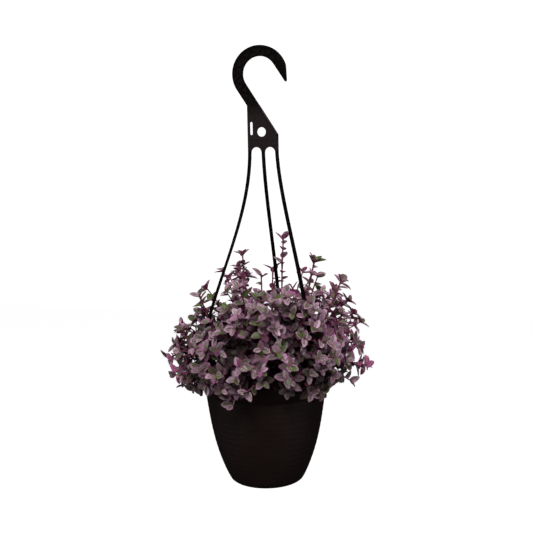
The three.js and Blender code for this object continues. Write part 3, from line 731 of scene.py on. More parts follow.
def soften(piece, degrees):
    """Smooth shading that keeps the edges sharper than an angle."""
    piece.data.shade_smooth()
    piece.data.set_sharp_from_angle(angle=math.radians(degrees))


def apply_modifiers(piece):
    """Keeps the mesh as its modifiers leave it."""
    bpy.context.view_layer.update()
    evaluated = piece.evaluated_get(bpy.context.evaluated_depsgraph_get())
    mesh = bpy.data.meshes.new_from_object(evaluated)
    piece.modifiers.clear()
    piece.data = mesh


def combine(piece, operation, others):
    """Cuts other meshes from a piece, or joins them to it, and removes them."""
    for other in others:
        modifier = piece.modifiers.new("combine", "BOOLEAN")
        modifier.operation = operation
        modifier.solver = "EXACT"
        modifier.object = other
    apply_modifiers(piece)
    for other in others:
        bpy.data.objects.remove(other)


def level_ring(radius, height, segments):
    """Points of a level circle round the axis."""
    angles = [2 * math.pi * k / segments for k in range(segments)]
    return [(radius * math.cos(angle), radius * math.sin(angle), height) for angle in angles]


def lathe(name, profile, segments, material):
    """A turned shape from radius and height pairs that start and end on the axis."""
    points, faces = loft([level_ring(radius, height, segments) for radius, height in profile[1:-1]])
    del faces[-2:]
    first_pole = len(points)
    points += [(0.0, 0.0, profile[0][1]), (0.0, 0.0, profile[-1][1])]
    last_ring = first_pole - segments
    for k in range(segments):
        beside = (k + 1) % segments
        faces.append((first_pole, beside, k))
        faces.append((first_pole + 1, last_ring + k, last_ring + beside))
    return make_object(name, points, faces, material, -CROWN_TO_BASE)


def unit(vector):
    """The same direction at a length of one."""
    return vector / np.linalg.norm(vector)


def loft(rings):
    """Points and faces of a closed body through rings of equal count."""
    sides = len(rings[0])
    points = [tuple(p) for ring in rings for p in ring]
    faces = []
    for r in range(len(rings) - 1):
        for k in range(sides):
            a = r * sides + k
            b = r * sides + (k + 1) % sides
            faces.append((a, b, b + sides, a + sides))
    last = (len(rings) - 1) * sides
    faces.append(tuple(reversed(range(sides))))
    faces.append(tuple(last + k for k in range(sides)))
    return points, faces


# Pot


def body_radius(share):
    """Outer radius of the pot's body at a share of its height, a taper that bulges below its middle."""
    straight = BODY_BOTTOM_RADIUS + (BODY_TOP_RADIUS - BODY_BOTTOM_RADIUS) * share
    return straight + BODY_BULGE * math.sin(math.pi * share ** BODY_BULGE_LOW)


def body_height(share):
    """Height at a share of the way up the pot's body."""
    return BODY_BOTTOM + (FLARE_BOTTOM - BODY_BOTTOM) * share


def step_relief(height):
    """How far the shallow moulded steps round the body stand out at a height."""
    if not STEPS_FROM < height < STEPS_TO:
        return 0.0
    turns = (height - STEPS_FROM) / STEP_PITCH
    climb = turns - math.floor(turns)
    fade = min(1.0, (height - STEPS_FROM) / STEP_FADE, (STEPS_TO - height) / STEP_FADE)
    return STEP_DEPTH * fade * (min(climb / STEP_CLIMB, (1 - climb) / (1 - STEP_CLIMB)) - 0.5)


def pot_profile():
    """The pot's section as radius and height pairs, from under its floor round the rim to its inside."""
    outer = [(0, FOOT_RECESS)]
    outer += [(FOOT_INNER_RADIUS + out, up) for out, up in FOOT_STEP]
    outer += [(FOOT_OUTER_RADIUS + out, up) for out, up in FOOT_ROUND]
    for i in range(BODY_RINGS + 1):
        height = body_height(i / BODY_RINGS)
        outer.append((body_radius(i / BODY_RINGS) + step_relief(height), height))
    outer += [(FLARE_FOOT_RADIUS + out, FLARE_BOTTOM + up) for out, up in FLARE_EASE]
    foot_radius, foot_height = outer[-1]
    for i in range(1, FLARE_RINGS):
        share = i / FLARE_RINGS
        radius = foot_radius + (RIM_RADIUS - FLARE_SHORT - foot_radius) * share
        outer.append((radius + FLARE_BOW * math.sin(math.pi * share), foot_height + FLARE_RISE * share))
    outer += [(RIM_RADIUS + out, POT_HEIGHT - LIP_HEIGHT + up) for out, up in LIP_UNDER]
    outer += [(RIM_RADIUS + out, POT_HEIGHT + up) for out, up in LIP_OVER]
    inner = [(FLARE_FOOT_RADIUS - WALL, FLARE_BOTTOM + WALL)]
    for i in range(INSIDE_RINGS - 1, 0, -1):
        share = i / INSIDE_RINGS
        inner.append((body_radius(share) - WALL, body_height(share)))
    return [*outer, *inner, (FLOOR_RADIUS, FLOOR_TOP), (0, FLOOR_TOP)]


def upright_cutter(x, y, half_width, bottom, top, turn, sides):
    """A closed upright bar that is cut from the pot."""
    rings = []
    for height in (bottom, top):
        ring = []
        for k in range(sides):
            angle = turn + 2 * math.pi * (k + 0.5) / sides
            reach = half_width / math.cos(math.pi / sides)
            ring.append((x + reach * math.cos(angle), y + reach * math.sin(angle), height))
        rings.append(ring)
    points, faces = loft(rings)
    return make_object("cutter", points, faces, None, -CROWN_TO_BASE)


def make_pot(material):
    """The pot: a turned shell, drilled for drainage, with a slot in its rim for each leg of the hanger."""
    pot = lathe("pot_shell", pot_profile(), POT_SEGMENTS, material)
    cutters = []
    for i in range(DRAIN_HOLES):
        angle = 2 * math.pi * i / DRAIN_HOLES
        x = DRAIN_CIRCLE * math.cos(angle)
        y = DRAIN_CIRCLE * math.sin(angle)
        cutters.append(upright_cutter(x, y, DRAIN_RADIUS, -CUT_PAST, FLOOR_TOP + CUT_PAST, 0, DRAIN_SIDES))
    bottom = POT_HEIGHT - SLOT_DEPTH
    top = POT_HEIGHT + CUT_PAST
    for degrees in LEG_ANGLES:
        angle = math.radians(degrees)
        x = LEG_CIRCLE * math.sin(angle)
        y = LEG_CIRCLE * math.cos(angle)
        cutters.append(upright_cutter(x, y, LEG_THICK / 2 + LOOSE, bottom, top, -angle, SLOT_SIDES))
    combine(pot, "DIFFERENCE", cutters)
    soften(pot, POT_SHARP)
    return pot


# Soil


def soil_height(radius):
    """Height of the potting mix without its lumps, a low mound."""
    return SOIL_MIDDLE - (SOIL_MIDDLE - SOIL_EDGE) * (radius / SOIL_EDGE_RADIUS) ** 2


def make_soil(material):
    """The top of the potting mix with its lumps, closed by its side and bottom inside the pot."""
    draws = np.random.default_rng(FILL_SEED)
    spans = (SOIL_WAVE_PACE, (0, ROUGH_CIRCLE), (0, ROUGH_CIRCLE))
    waves = [[draws.uniform(*span) for span in spans] for _ in range(SOIL_WAVES)]
    rings = [level_ring(radius - WALL - LOOSE, height, SOIL_SEGMENTS) for radius, height in SOIL_SIDE]
    for r in range(SOIL_RINGS):
        radius = SOIL_EDGE_RADIUS * (1 - r / SOIL_RINGS)
        ring = []
        for x, y, height in level_ring(radius, soil_height(radius), SOIL_SEGMENTS):
            lumps = sum(math.sin(pace * (x * math.cos(way) + y * math.sin(way)) + phase)
                        for pace, way, phase in waves)
            ring.append((x, y, height + SOIL_LUMPS * lumps / WAVES_TOGETHER if r else SOIL_EDGE))
        rings.append(ring)
    points, faces = loft(rings)
    faces.pop()
    top = len(points)
    last = top - SOIL_SEGMENTS
    points.append((0, 0, SOIL_MIDDLE))
    faces += [(last + k, last + (k + 1) % SOIL_SEGMENTS, top) for k in range(SOIL_SEGMENTS)]
    soil = make_object("potting_mix", points, faces, material, -CROWN_TO_BASE)
    soften(soil, SOIL_SHARP)
    return soil


def make_crumbs(material):
    """Loose crumbs of bark and peat on the potting mix."""
    draws = np.random.default_rng(FILL_SEED + 1)
    corners = np.array([(1, 0, 0), (-1, 0, 0), (0, 1, 0), (0, -1, 0), (0, 0, 1), (0, 0, -1)], float)
    sides = [(0, 2, 4), (2, 1, 4), (1, 3, 4), (3, 0, 4), (2, 0, 5), (1, 2, 5), (3, 1, 5), (0, 3, 5)]
    points = []
    faces = []
    for _ in range(CRUMBS):
        radius = (SOIL_EDGE_RADIUS - CRUMB_MARGIN) * math.sqrt(draws.uniform())
        angle = draws.uniform(0, 2 * math.pi)
        height = soil_height(radius) + CRUMB_LIFT
        length = draws.uniform(*CRUMB_SIZE)
        size = length * np.array([1.0, draws.uniform(*CRUMB_WIDTH), draws.uniform(*CRUMB_THICKNESS)])
        turn = draws.uniform(0, math.pi)
        shape = corners * size * draws.uniform(*CRUMB_UNEVEN, (len(corners), 1))
        spun = np.column_stack([
            shape[:, 0] * math.cos(turn) - shape[:, 1] * math.sin(turn),
            shape[:, 0] * math.sin(turn) + shape[:, 1] * math.cos(turn),
            shape[:, 2],
        ])
        start = len(points)
        points.extend((spun + (radius * math.cos(angle), radius * math.sin(angle), height)).tolist())
        faces.extend(tuple(start + i for i in side) for side in sides)
    crumbs = make_object("soil_crumbs", points, faces, material, -CROWN_TO_BASE)
    split = crumbs.modifiers.new("round", "SUBSURF")
    split.levels = 1
    split.render_levels = 1
    apply_modifiers(crumbs)
    soften(crumbs, CRUMB_SHARP)
    return crumbs


# Hanger


def arc(centre, radius, start, end, count):
    """Points along a round stretch, angles in degrees."""
    angles = np.radians(np.linspace(start, end, count))
    return [(centre[0] + radius * math.cos(a), centre[1] + radius * math.sin(a)) for a in angles]


def hook_outline(inset):
    """Outline of the hook and its plate in X and Z, drawn in by an inset."""
    centre = (0, -HOOK_INNER)
    foot = PLATE_FOOT + inset
    arch = ARCH_RADIUS + inset
    return [
        (PLATE_LEFT + inset, foot),
        (PLATE_LEFT + inset, PLATE_SHOULDER),
        *arc(centre, HOOK_OUTER - inset, *OUTER_ARC, OUTER_ARC_POINTS),
        *[(x - TIP_EASE[0] * inset, z + TIP_EASE[1] * inset) for x, z in HOOK_TIP],
        *arc(centre, HOOK_INNER + inset, *INNER_ARC, INNER_ARC_POINTS),
        (PLATE_RIGHT - inset, PLATE_CORNER),
        (PLATE_RIGHT - inset, foot),
        *arc((PLATE_RIGHT - LEG_THICK - ARCH_RADIUS, PLATE_FOOT), arch, 0, 180, ARCH_POINTS),
        *arc((PLATE_LEFT + LEG_THICK + ARCH_RADIUS, PLATE_FOOT), arch, 0, 180, ARCH_POINTS),
    ]


def round_ended(x, low, high, radius):
    """A slot with round ends, or a round hole where both ends have one centre."""
    over = arc((x, high), radius, 0, 180, ROUND_END_POINTS)
    under = arc((x, low), radius, 180, 360, ROUND_END_POINTS)
    return [*over, *under]


def flat_moulding(name, loops, thick, offset, edge):
    """A flat moulding in X and Z with rounded edges: the first loop is its outline, the rest are holes."""
    curve = bpy.data.curves.new(name, "CURVE")
    curve.dimensions = "2D"
    curve.fill_mode = "BOTH"
    curve.extrude = (thick / 2 - edge) * MM
    curve.bevel_depth = edge * MM
    curve.bevel_resolution = EDGE_STEPS
    curve.offset = -edge * MM
    for loop in loops:
        spline = curve.splines.new("POLY")
        spline.points.add(len(loop) - 1)
        for point, (x, z) in zip(spline.points, loop):
            point.co = (x * MM, z * MM, 0, 1)
        spline.use_cyclic_u = True
    holder = bpy.data.objects.new(name, curve)
    bpy.context.scene.collection.objects.link(holder)
    bpy.context.view_layer.update()
    mesh = bpy.data.meshes.new_from_object(holder.evaluated_get(bpy.context.evaluated_depsgraph_get()))
    bpy.data.objects.remove(holder)
    mesh.transform(Matrix(((1, 0, 0, 0), (0, 0, -1, offset * MM), (0, 1, 0, 0), (0, 0, 0, 1))))
    made = bpy.data.objects.new(name, mesh)
    bpy.context.scene.collection.objects.link(made)
    weld = made.modifiers.new("weld", "WELD")
    weld.merge_threshold = WELD * MM
    apply_modifiers(made)
    return made


def truss_points():
    """The points that the truss of ribs turns at, alternately on the inner and outer border."""
    points = []
    inner = HOOK_INNER + BORDER
    outer = HOOK_OUTER - BORDER
    for i in range(HOOK_TURNS):
        angle = math.radians(TRUSS_START + i * TRUSS_STEP)
        radius = outer if i % 2 else inner
        points.append(np.array((radius * math.cos(angle), radius * math.sin(angle) - HOOK_INNER)))
    across = np.array((SHANK_RUN[1], -SHANK_RUN[0]))
    for i in range(1, SHANK_TURNS + 1):
        width = HOOK_OUTER - HOOK_INNER - BORDER if i % 2 else BORDER
        points.append(SHANK_TOP + SHANK_RUN * (i * SHANK_STEP - SHANK_STEP / 2) + across * width)
    return points


def recess(corners):
    """A three-cornered recess between ribs, with its corners eased."""
    middle = sum(corners) / 3
    drawn = []
    for corner in corners:
        way = middle - corner
        drawn.append(corner + way * (RIB_CORNER / np.linalg.norm(way)))
    eased = []
    for i, corner in enumerate(drawn):
        for other in (drawn[i - 1], drawn[(i + 1) % 3]):
            way = other - corner
            eased.append(tuple(corner + way * (CORNER_EASE / np.linalg.norm(way))))
    area = sum(a[0] * b[1] - b[0] * a[1] for a, b in zip(eased, eased[1:] + eased[:1]))
    return eased if area > 0 else eased[::-1]


def leg_point(side, share):
    """Middle line of a leg: it leaves the plate upright, swings out and drops through the rim."""
    t = share ** LEG_PACES[side + 1]
    spread = LEG_SWING * t * t * (3 - 2 * t) + (1 - LEG_SWING) * t
    angle = math.radians(LEG_ANGLES[side + 1])
    start = (PLATE_LEFT + PLATE_RIGHT) / 2 + side * (ARCH_RADIUS * 2 + LEG_THICK)
    x = start + (LEG_CIRCLE * math.sin(angle) - start) * spread
    y = LEG_CIRCLE * math.cos(angle) * spread
    foot = LEG_SPREAD_END - CROWN_TO_BASE
    return np.array((x, y, PLATE_FOOT + (foot - PLATE_FOOT) * share))


def bar_ring(centre, turn, half_across, half_radial, ease):
    """One level ring of a bar: a rectangle with eased corners."""
    corners = []
    for a, r in ((1, -1), (1, 1), (-1, 1), (-1, -1)):
        short = (a * (half_across - ease), r * half_radial)
        wide = (a * half_across, r * (half_radial - ease))
        corners += [wide, short] if a * r > 0 else [short, wide]
    cos = math.cos(turn)
    sin = math.sin(turn)
    return [(centre[0] + a * cos - r * sin, centre[1] + a * sin + r * cos, centre[2]) for a, r in corners]


def make_leg(side):
    """A leg with its clip, as closed meshes."""
    half = LEG_THICK / 2
    twist = side * LEG_TWIST
    top = leg_point(side, 0)
    foot = leg_point(side, 1)

    def at(height):
        """A point of the leg's foot at a height above the pot's underside."""
        return (foot[0], foot[1], height - CROWN_TO_BASE)

    rings = [bar_ring((top[0], top[1], PLATE_FOOT + LEG_ROOT), 0, half, half - LEG_ROOT_SHY, LEG_EDGE)]
    for i in range(LEG_STATIONS + 1):
        share = i / LEG_STATIONS
        rings.append(bar_ring(leg_point(side, share), twist * share, half, half, LEG_EDGE))
    rings.append(bar_ring(at(CLIP_FOOT + CLIP_FOOT_PAST), twist, half, half, LEG_EDGE))
    leg = make_object("leg", *loft(rings[::-1]), None)
    across = -math.radians(LEG_ANGLES[side + 1])
    clip_rings = [bar_ring(at(height), across, *sizes) for height, *sizes in CLIP_RINGS]
    clip = make_object("clip", *loft(clip_rings), None)
    return [leg, clip]


def ridge(start, end):
    """A thin raised line across both faces of the plate."""
    start = np.array(start)
    end = np.array(end)
    way = unit(end - start)
    across = np.array((-way[1], way[0])) * RIDGE_HALF
    corners = [tuple(p) for p in (start - across, end - across, end + across, start + across)]
    return flat_moulding("ridge", [corners], PLATE_THICK + 2 * RIDGE_PROUD, 0, RIDGE_ROUND)


def ejector_mark(x, z):
    """The round mark that an ejector pin leaves on the face turned to the mould's moving half."""
    thick = PLATE_THICK / 2 + EJECTOR_PROUD
    circle = arc((x, z), EJECTOR_RADIUS, 0, 360 - 360 / EJECTOR_POINTS, EJECTOR_POINTS)
    return flat_moulding("ejector_mark", [circle], thick, -thick / 2, EJECTOR_ROUND)


def make_hanger(material):
    """The hanger: hook and plate with ribs over a thinner core, and the legs, flange, ridges and marks."""
    hole = round_ended(HOLE_CENTRE[0], HOLE_CENTRE[1], HOLE_CENTRE[1], HOLE_RADIUS)
    slot = round_ended(SLOT_X, SLOT_BOTTOM + SLOT_HALF, SLOT_TOP - SLOT_HALF, SLOT_HALF)
    turns = truss_points()
    recesses = [recess(turns[i:i + 3]) for i in range(len(turns) - 2)]
    loops = [hook_outline(0), hole, slot, *recesses]
    ribs = flat_moulding("hanger_moulding", loops, PLATE_THICK, 0, EDGE_ROUND)
    core_thick = PLATE_THICK - 2 * RECESS_DEPTH
    core = flat_moulding("core", [hook_outline(CORE_INSET), hole, slot], core_thick, 0, CORE_ROUND)
    corner = np.array((PLATE_RIGHT, PLATE_CORNER))
    start = corner - SHANK_RUN * FLANGE_LENGTH
    inward = np.array((SHANK_RUN[1], -SHANK_RUN[0])) * FLANGE_WIDTH
    edges = [tuple(p) for p in (start + inward, corner + inward, corner, start)]
    flange = flat_moulding("flange", [edges], FLANGE_THICK, 0, EDGE_ROUND)
    legs = [piece for side in (-1, 0, 1) for piece in make_leg(side)]
    marks = [ejector_mark(x, z) for x, z in EJECTOR_MARKS]
    ridges = [ridge(start, end) for start, end in RIDGES]
    combine(ribs, "UNION", [core, flange, *legs, *ridges, *marks])
    pockets = []
    for face in (PLATE_THICK / 2, -PLATE_THICK / 2):
        pockets.append(flat_moulding("pocket", [POCKET], 2 * POCKET_DEPTH, face, POCKET_ROUND))
    combine(ribs, "DIFFERENCE", pockets)
    ribs.data.materials.clear()
    ribs.data.materials.append(material)
    soften(ribs, HANGER_SHARP)
    return ribs


# Plants: the rule of the part's source

# Of its draws: a word's bits, and the factors that spread and mix them
WORD = 0xFFFFFFFF
SPREAD = (7919, 104729, 1299709)
MIX = (0x2C1B3C6D, 0x297A2D39)


def draw_number(what):
    """The number of a draw, or of one of a run of like draws."""
    name, extra = what if isinstance(what, tuple) else (what, 0)
    return DRAWS[name] + extra


def draw(plant, item, what):
    """An even draw from 0 to 1 that depends only on the plant, the item and what is drawn."""
    h = (plant * SPREAD[0] + item * SPREAD[1] + draw_number(what) * SPREAD[2] + SEED) & WORD
    h = ((h ^ (h >> 15)) * MIX[0]) & WORD
    h = ((h ^ (h >> 12)) * MIX[1]) & WORD
    return (h ^ (h >> 15)) / 2 ** 32


def vary(plant, item, what, span):
    """A draw from the first to the second value of a span."""
    return span[0] + (span[1] - span[0]) * draw(plant, item, what)


def sway(plant, item, what, most):
    """A draw to either side of none."""
    return vary(plant, item, what, (-most, most))


def place(azimuth, reach, height):
    """A point from a distance out along an azimuth and a height."""
    return np.array((reach * math.cos(azimuth), reach * math.sin(azimuth), height))


def bezier(p, u):
    """A point of the cubic curve that four points steer."""
    v = 1 - u
    return p[0] * v ** 3 + p[1] * 3 * v * v * u + p[2] * 3 * v * u * u + p[3] * u ** 3


def frame_of(direction):
    """Two directions square to a stem: the first as level as it can be."""
    side = np.array((-direction[1], direction[0], 0.0))
    if np.linalg.norm(side) < NEARLY_UPRIGHT:
        side = np.array((1.0, 0.0, 0.0))
    side = unit(side)
    return side, unit(np.cross(direction, side))


def leaf_at(point, direction, turn, lean, length, droop, roll=0.0):
    """A leaf at a point of a stem, turned about the stem, leaning off it and rolled about its own midrib."""
    side, over = frame_of(direction)
    out = side * math.cos(turn) + over * math.sin(turn)
    face = direction * math.sin(lean) - out * math.cos(lean)
    along = direction * math.cos(lean) + out * math.sin(lean)
    across = np.cross(face, along)
    return {
        "point": point,
        "direction": direction,
        "turn": turn,
        "lean": lean,
        "along": along,
        "face": face * math.cos(roll) + across * math.sin(roll),
        "length": length,
        "width": length * LEAF_WIDTH / LEAF_LENGTH,
        "droop": droop,
    }


def turned_leaf(leaf, attempt):
    """The same leaf turned further round its stem, to one side and the other by turns."""
    way = 1 if attempt % 2 else -1
    turn = leaf["turn"] + way * math.ceil(attempt / 2) * TRY_TURN
    lean = leaf["lean"] - TRY_LEAN * attempt
    return leaf_at(leaf["point"], leaf["direction"], turn, lean, leaf["length"], leaf["droop"])


def lean_of(plant, item, what):
    """How far a leaf leans off its stem. The tall shoots' leaves stand up more."""
    return vary(plant, item, what, TALL_LEAF_LEAN if plant < len(TALL_SHOOTS) else LEAF_LEAN)


def cluster_at(plant, item, tip, heading):
    """The leaves round a growing tip."""
    first = vary(plant, item, "cluster_turn", (0, 2 * math.pi))
    leaves = []
    for k in range(TIP_LEAVES):
        even = first + 2 * math.pi * k / TIP_LEAVES
        turn = even + sway(plant, item, ("leaf_turn", k), LEAF_TURN)
        lean = lean_of(plant, item, ("leaf_lean", k))
        length = LEAF_LENGTH * vary(plant, item, ("leaf_size", k), LEAF_SIZE)
        droop = vary(plant, item, ("leaf_droop", k), LEAF_DROOP)
        point = tip - heading * (LEAF_INSET + LEAF_STEP * k)
        leaves.append(leaf_at(point, heading, turn, lean, length, droop))
    return leaves


def tall_course(plant, item, attempt):
    """The way of a tall shoot from its root to its place in the outline."""
    azimuth, reach, height = TALL_SHOOTS[plant]
    azimuth = math.radians(azimuth) + attempt * sway(plant, item, "azimuth", TALL_TURN)
    return {
        "azimuth": azimuth,
        "root": place(azimuth, TALL_ROOT + reach * TALL_ROOT_SHARE, 0),
        "tip": place(azimuth, reach, height),
        "lean": TALL_LEAN * reach,
        "rise": TALL_RISE,
        "bends": TALL_BENDS,
    }


def dome_course(plant, item):
    """The way of a stem that ends under the dome's skin."""
    order = plant - len(TALL_SHOOTS)
    share = math.sqrt((order + DOME_START) / DOME_PLANTS)
    azimuth = order * GOLDEN_ANGLE + sway(plant, item, "azimuth", DOME_TURN)
    root_azimuth = azimuth + sway(plant, 0, "root_azimuth", ROOT_TURN)
    polar = DOME_SPREAD * share + sway(plant, item, "polar", DOME_SWAY)
    size = vary(plant, item, "size", DOME_SIZE)
    reach = DOME_RADIUS * size * math.sin(polar) ** DOME_SHOULDER
    height = DOME_BASE + DOME_HEIGHT * size * math.cos(polar) ** DOME_CROWN
    return {
        "azimuth": azimuth,
        "root": place(root_azimuth, ROOT_CIRCLE * share, 0),
        "tip": place(azimuth, reach, height),
        "lean": polar * DOME_LEAN,
        "rise": DOME_RISE + RIM_LIFT * max(0, polar - RIM_LIFT_FROM),
        "bends": DOME_BENDS,
    }


def stem_points(course):
    """Where a main stem stands and bends, from its foot to its tip."""
    ground = course["root"] + (0, 0, SOIL_MIDDLE + GROUND_LIFT)
    tip = course["tip"]
    reach = np.linalg.norm(tip - ground)
    lean = course["lean"]
    heading = place(course["azimuth"], math.sin(lean), math.cos(lean))
    curve = (
        ground,
        ground + place(course["azimuth"], FOOT_PUSH * reach, course["rise"] * reach),
        tip - heading * TIP_PULL * reach,
        tip,
    )
    foot = course["root"] + (0, 0, STEM_FOOT)
    return [foot, ground, *[bezier(curve, u) for u in course["bends"]]]


def plan_of(plant, attempt):
    """A plant's main stem and the leaves that it may carry, for a given try."""
    item = TRY_ITEMS * attempt
    tall = plant < len(TALL_SHOOTS)
    points = stem_points(tall_course(plant, item, attempt) if tall else dome_course(plant, item))
    last = len(points) - 1
    leaves = cluster_at(plant, item, points[last], unit(points[last] - points[last - 1]))
    alternate = vary(plant, item, "alternate_turn", (0, 2 * math.pi))
    for k in range(LONE_LEAVES_FROM["tall" if tall else "dome"], last):
        turn = alternate + k * math.pi + sway(plant, item, ("lone_turn", k), LONE_TURN)
        lean = lean_of(plant, item, ("lone_lean", k))
        length = LEAF_LENGTH * vary(plant, item, ("lone_size", k), LEAF_SIZE)
        leaves.append(leaf_at(points[k], unit(points[k] - points[k - 1]), turn, lean, length, LONE_DROOP))
    return {"points": points, "leaves": leaves, "radius": STEM_RADIUS}


def twig_of(plant, stem, order, attempt):
    """One of a plant's side twigs, for a given try: it leaves a bend of the stem sideways."""
    item = TWIG_ITEMS + TRY_ITEMS * attempt + order
    bend = TWIG_BEND + order
    start = stem["points"][bend]
    way = unit(start - stem["points"][bend - 1])
    side, over = frame_of(way)
    hand = 1 if (order + plant + (attempt >> 2)) % 2 else -1
    swing = vary(plant, item, "swing", TWIG_SWING)
    rise = vary(plant, item, "twig_rise", TWIG_RISE)
    heading = unit(way * math.cos(swing) + side * hand * math.sin(swing) + over * rise)
    length = vary(plant, item, "twig_length", TWIG_LENGTH) * (1 - attempt / (TWIG_SHORTER * TRIES))
    end = start + heading * length
    middle = (start + end) / 2 + over * TWIG_BOW
    leaves = cluster_at(plant, item, end, unit(end - middle))
    return {"points": [start, middle, end], "leaves": leaves, "radius": TWIG_RADIUS}


def stem_rings(points, radius):
    """The corners of a stem's plain solid, ring by ring."""
    rings = []
    for i, point in enumerate(points):
        way = unit(points[min(i + 1, len(points) - 1)] - points[max(i - 1, 0)])
        side, over = frame_of(way)
        here = radius * (1 - TAPER * i / (len(points) - 1))
        for k in range(STEM_SIDES):
            angle = 2 * math.pi * k / STEM_SIDES
            rings.append(point + side * here * math.cos(angle) + over * here * math.sin(angle))
    return rings


def leaf_tips(leaf):
    """The two corners at the tip of a leaf's plain solid."""
    end = leaf["point"] + leaf["along"] * leaf["length"]
    fall = leaf["droop"] * leaf["length"]
    return [end + leaf["face"] * (thick - fall) for thick in (LEAF_THICK / 2, -LEAF_THICK / 2)]


def found_share(corners, solid):
    """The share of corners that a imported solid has."""
    near = [solid.find(Vector(corner * MM) - Vector((0, 0, CROWN_TO_BASE * MM)))[2] for corner in corners]
    return sum(distance < SAME_PLACE * MM for distance in near) / len(near)


def settled(bearer, solid):
    """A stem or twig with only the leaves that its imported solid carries, each as it was turned there."""
    kept = []
    for leaf in bearer["leaves"]:
        for attempt in range(LEAF_TRIES):
            tried = turned_leaf(leaf, attempt)
            if found_share(leaf_tips(tried), solid) == 1:
                kept.append(tried)
                break
    return {**bearer, "leaves": kept}


def best_try(tries, solid, skip):
    """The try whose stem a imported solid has, or None."""
    shares = [found_share(stem_rings(t["points"], t["radius"])[skip:], solid) for t in tries]
    best = int(np.argmax(shares))
    return tries[best] if shares[best] > MOSTLY_FOUND else None


def packed_plant(plant):
    """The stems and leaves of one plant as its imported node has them."""
    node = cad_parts[f"leafy_stem_{plant + 1:02d}"]
    solid = KDTree(len(node.data.vertices))
    for vertex in node.data.vertices:
        solid.insert(vertex.co, vertex.index)
    solid.balance()
    stem = best_try([plan_of(plant, attempt) for attempt in range(TRIES)], solid, 0)
    bearers = [settled(stem, solid)]
    for order in range(1 if plant < ONE_TWIG_PLANTS else 2):
        tries = [twig_of(plant, stem, order, attempt) for attempt in range(TRIES)]
        twig = best_try(tries, solid, STEM_SIDES)
        if twig is not None:
            bearers.append(settled(twig, solid))
    return bearers


# Growth that the scene adds


def either_way(draws, most):
    """A draw to either side of none."""
    return draws.uniform(-most, most)


def smooth_course(points, steps):
    """A rounded line through the bends of a stem."""
    padded = [2 * points[0] - points[1], *points, 2 * points[-1] - points[-2]]
    line = []
    for a, b, c, d in zip(padded, padded[1:], padded[2:], padded[3:]):
        for i in range(steps):
            u = i / steps
            line.append(0.5 * (2 * b + (c - a) * u + (2 * a - 5 * b + 4 * c - d) * u * u
                               + (3 * b - a - 3 * c + d) * u ** 3))
    line.append(points[-1])
    return line


def blade_points(leaf, wave):
    """A grid of points over both faces of a leaf, with its place on the blade for the material."""
    t = np.linspace(0, 1, LEAF_ALONG + 1)
    s = np.linspace(-1, 1, LEAF_ACROSS + 1)
    across = np.cross(leaf["face"], leaf["along"])
    half = leaf["width"] / 2 * np.sin(math.pi * np.clip(t, *BLADE_ENDS) ** BLADE_WIDEST) ** BLADE_BLUNT
    rise = leaf["width"] * LEAF_FOLD * np.sin(math.pi * np.clip(t, CUP_FROM, 1) ** CUP_ALONG) ** CUP_FLAT
    fall = leaf["droop"] * leaf["length"]
    grid_t, grid_s = np.meshgrid(t, s, indexing="ij")
    lift = rise[:, None] * np.abs(grid_s) ** CUP_ACROSS - fall * grid_t ** DROOP_ALONG
    height, pace, phase = wave
    lift = lift + height * np.abs(grid_s) ** 2 * np.sin(grid_t * pace + grid_s * WAVE_SLANT + phase)
    middle = (leaf["point"]
              + leaf["along"] * (grid_t * leaf["length"])[..., None]
              + across * (grid_s * half[:, None])[..., None]
              + leaf["face"] * lift[..., None])
    thick = BLADE_THICK / 2 * (1 - THINNER_EDGE * np.abs(grid_s) ** 2) * (1 - THINNER_TIP * grid_t)
    upper = middle + leaf["face"] * thick[..., None]
    lower = middle - leaf["face"] * thick[..., None]
    points = np.concatenate([upper.reshape(-1, 3), lower.reshape(-1, 3)])
    count = grid_t.size
    places = np.empty((2 * count, 3))
    places[:, 0] = np.tile(grid_s.ravel(), 2)
    places[:, 1] = np.tile(grid_t.ravel(), 2)
    places[:, 2] = np.repeat((1.0, 0.0), count)
    return points, places


def blade_faces():
    """Faces of a leaf's grid: its two sides and the rim between them."""
    wide = LEAF_ACROSS + 1
    count = (LEAF_ALONG + 1) * wide
    faces = []
    for i in range(LEAF_ALONG):
        for j in range(LEAF_ACROSS):
            a = i * wide + j
            faces.append((a, a + wide, a + wide + 1, a + 1))
            faces.append((a + count, a + count + 1, a + count + wide + 1, a + count + wide))
    rim = [i * wide for i in range(LEAF_ALONG)]
    rim += [LEAF_ALONG * wide + j for j in range(LEAF_ACROSS)]
    rim += [i * wide + LEAF_ACROSS for i in range(LEAF_ALONG, 0, -1)]
    rim += [j for j in range(LEAF_ACROSS, 0, -1)]
    for a, b in zip(rim, rim[1:] + rim[:1]):
        faces.append((a, a + count, b + count, b))
    return faces


BLADE_FACES = np.array(blade_faces())


def tube(line, radius, joints):
    """Points and faces of a round stem with a swollen joint at each leaf."""
    rings = []
    for i, point in enumerate(line):
        way = unit(line[min(i + 1, len(line) - 1)] - line[max(i - 1, 0)])
        side, over = frame_of(way)
        here = radius * (1 - TUBE_TAPER * i / (len(line) - 1))
        near = min((np.linalg.norm(point - joint) for joint in joints), default=FAR_OFF)
        here *= 1 + JOINT_SWELL * max(0.0, 1 - near / JOINT_REACH)
        angles = [2 * math.pi * k / TUBE_SIDES for k in range(TUBE_SIDES)]
        rings.append([point + side * here * math.cos(a) + over * here * math.sin(a) for a in angles])
    return loft(rings)


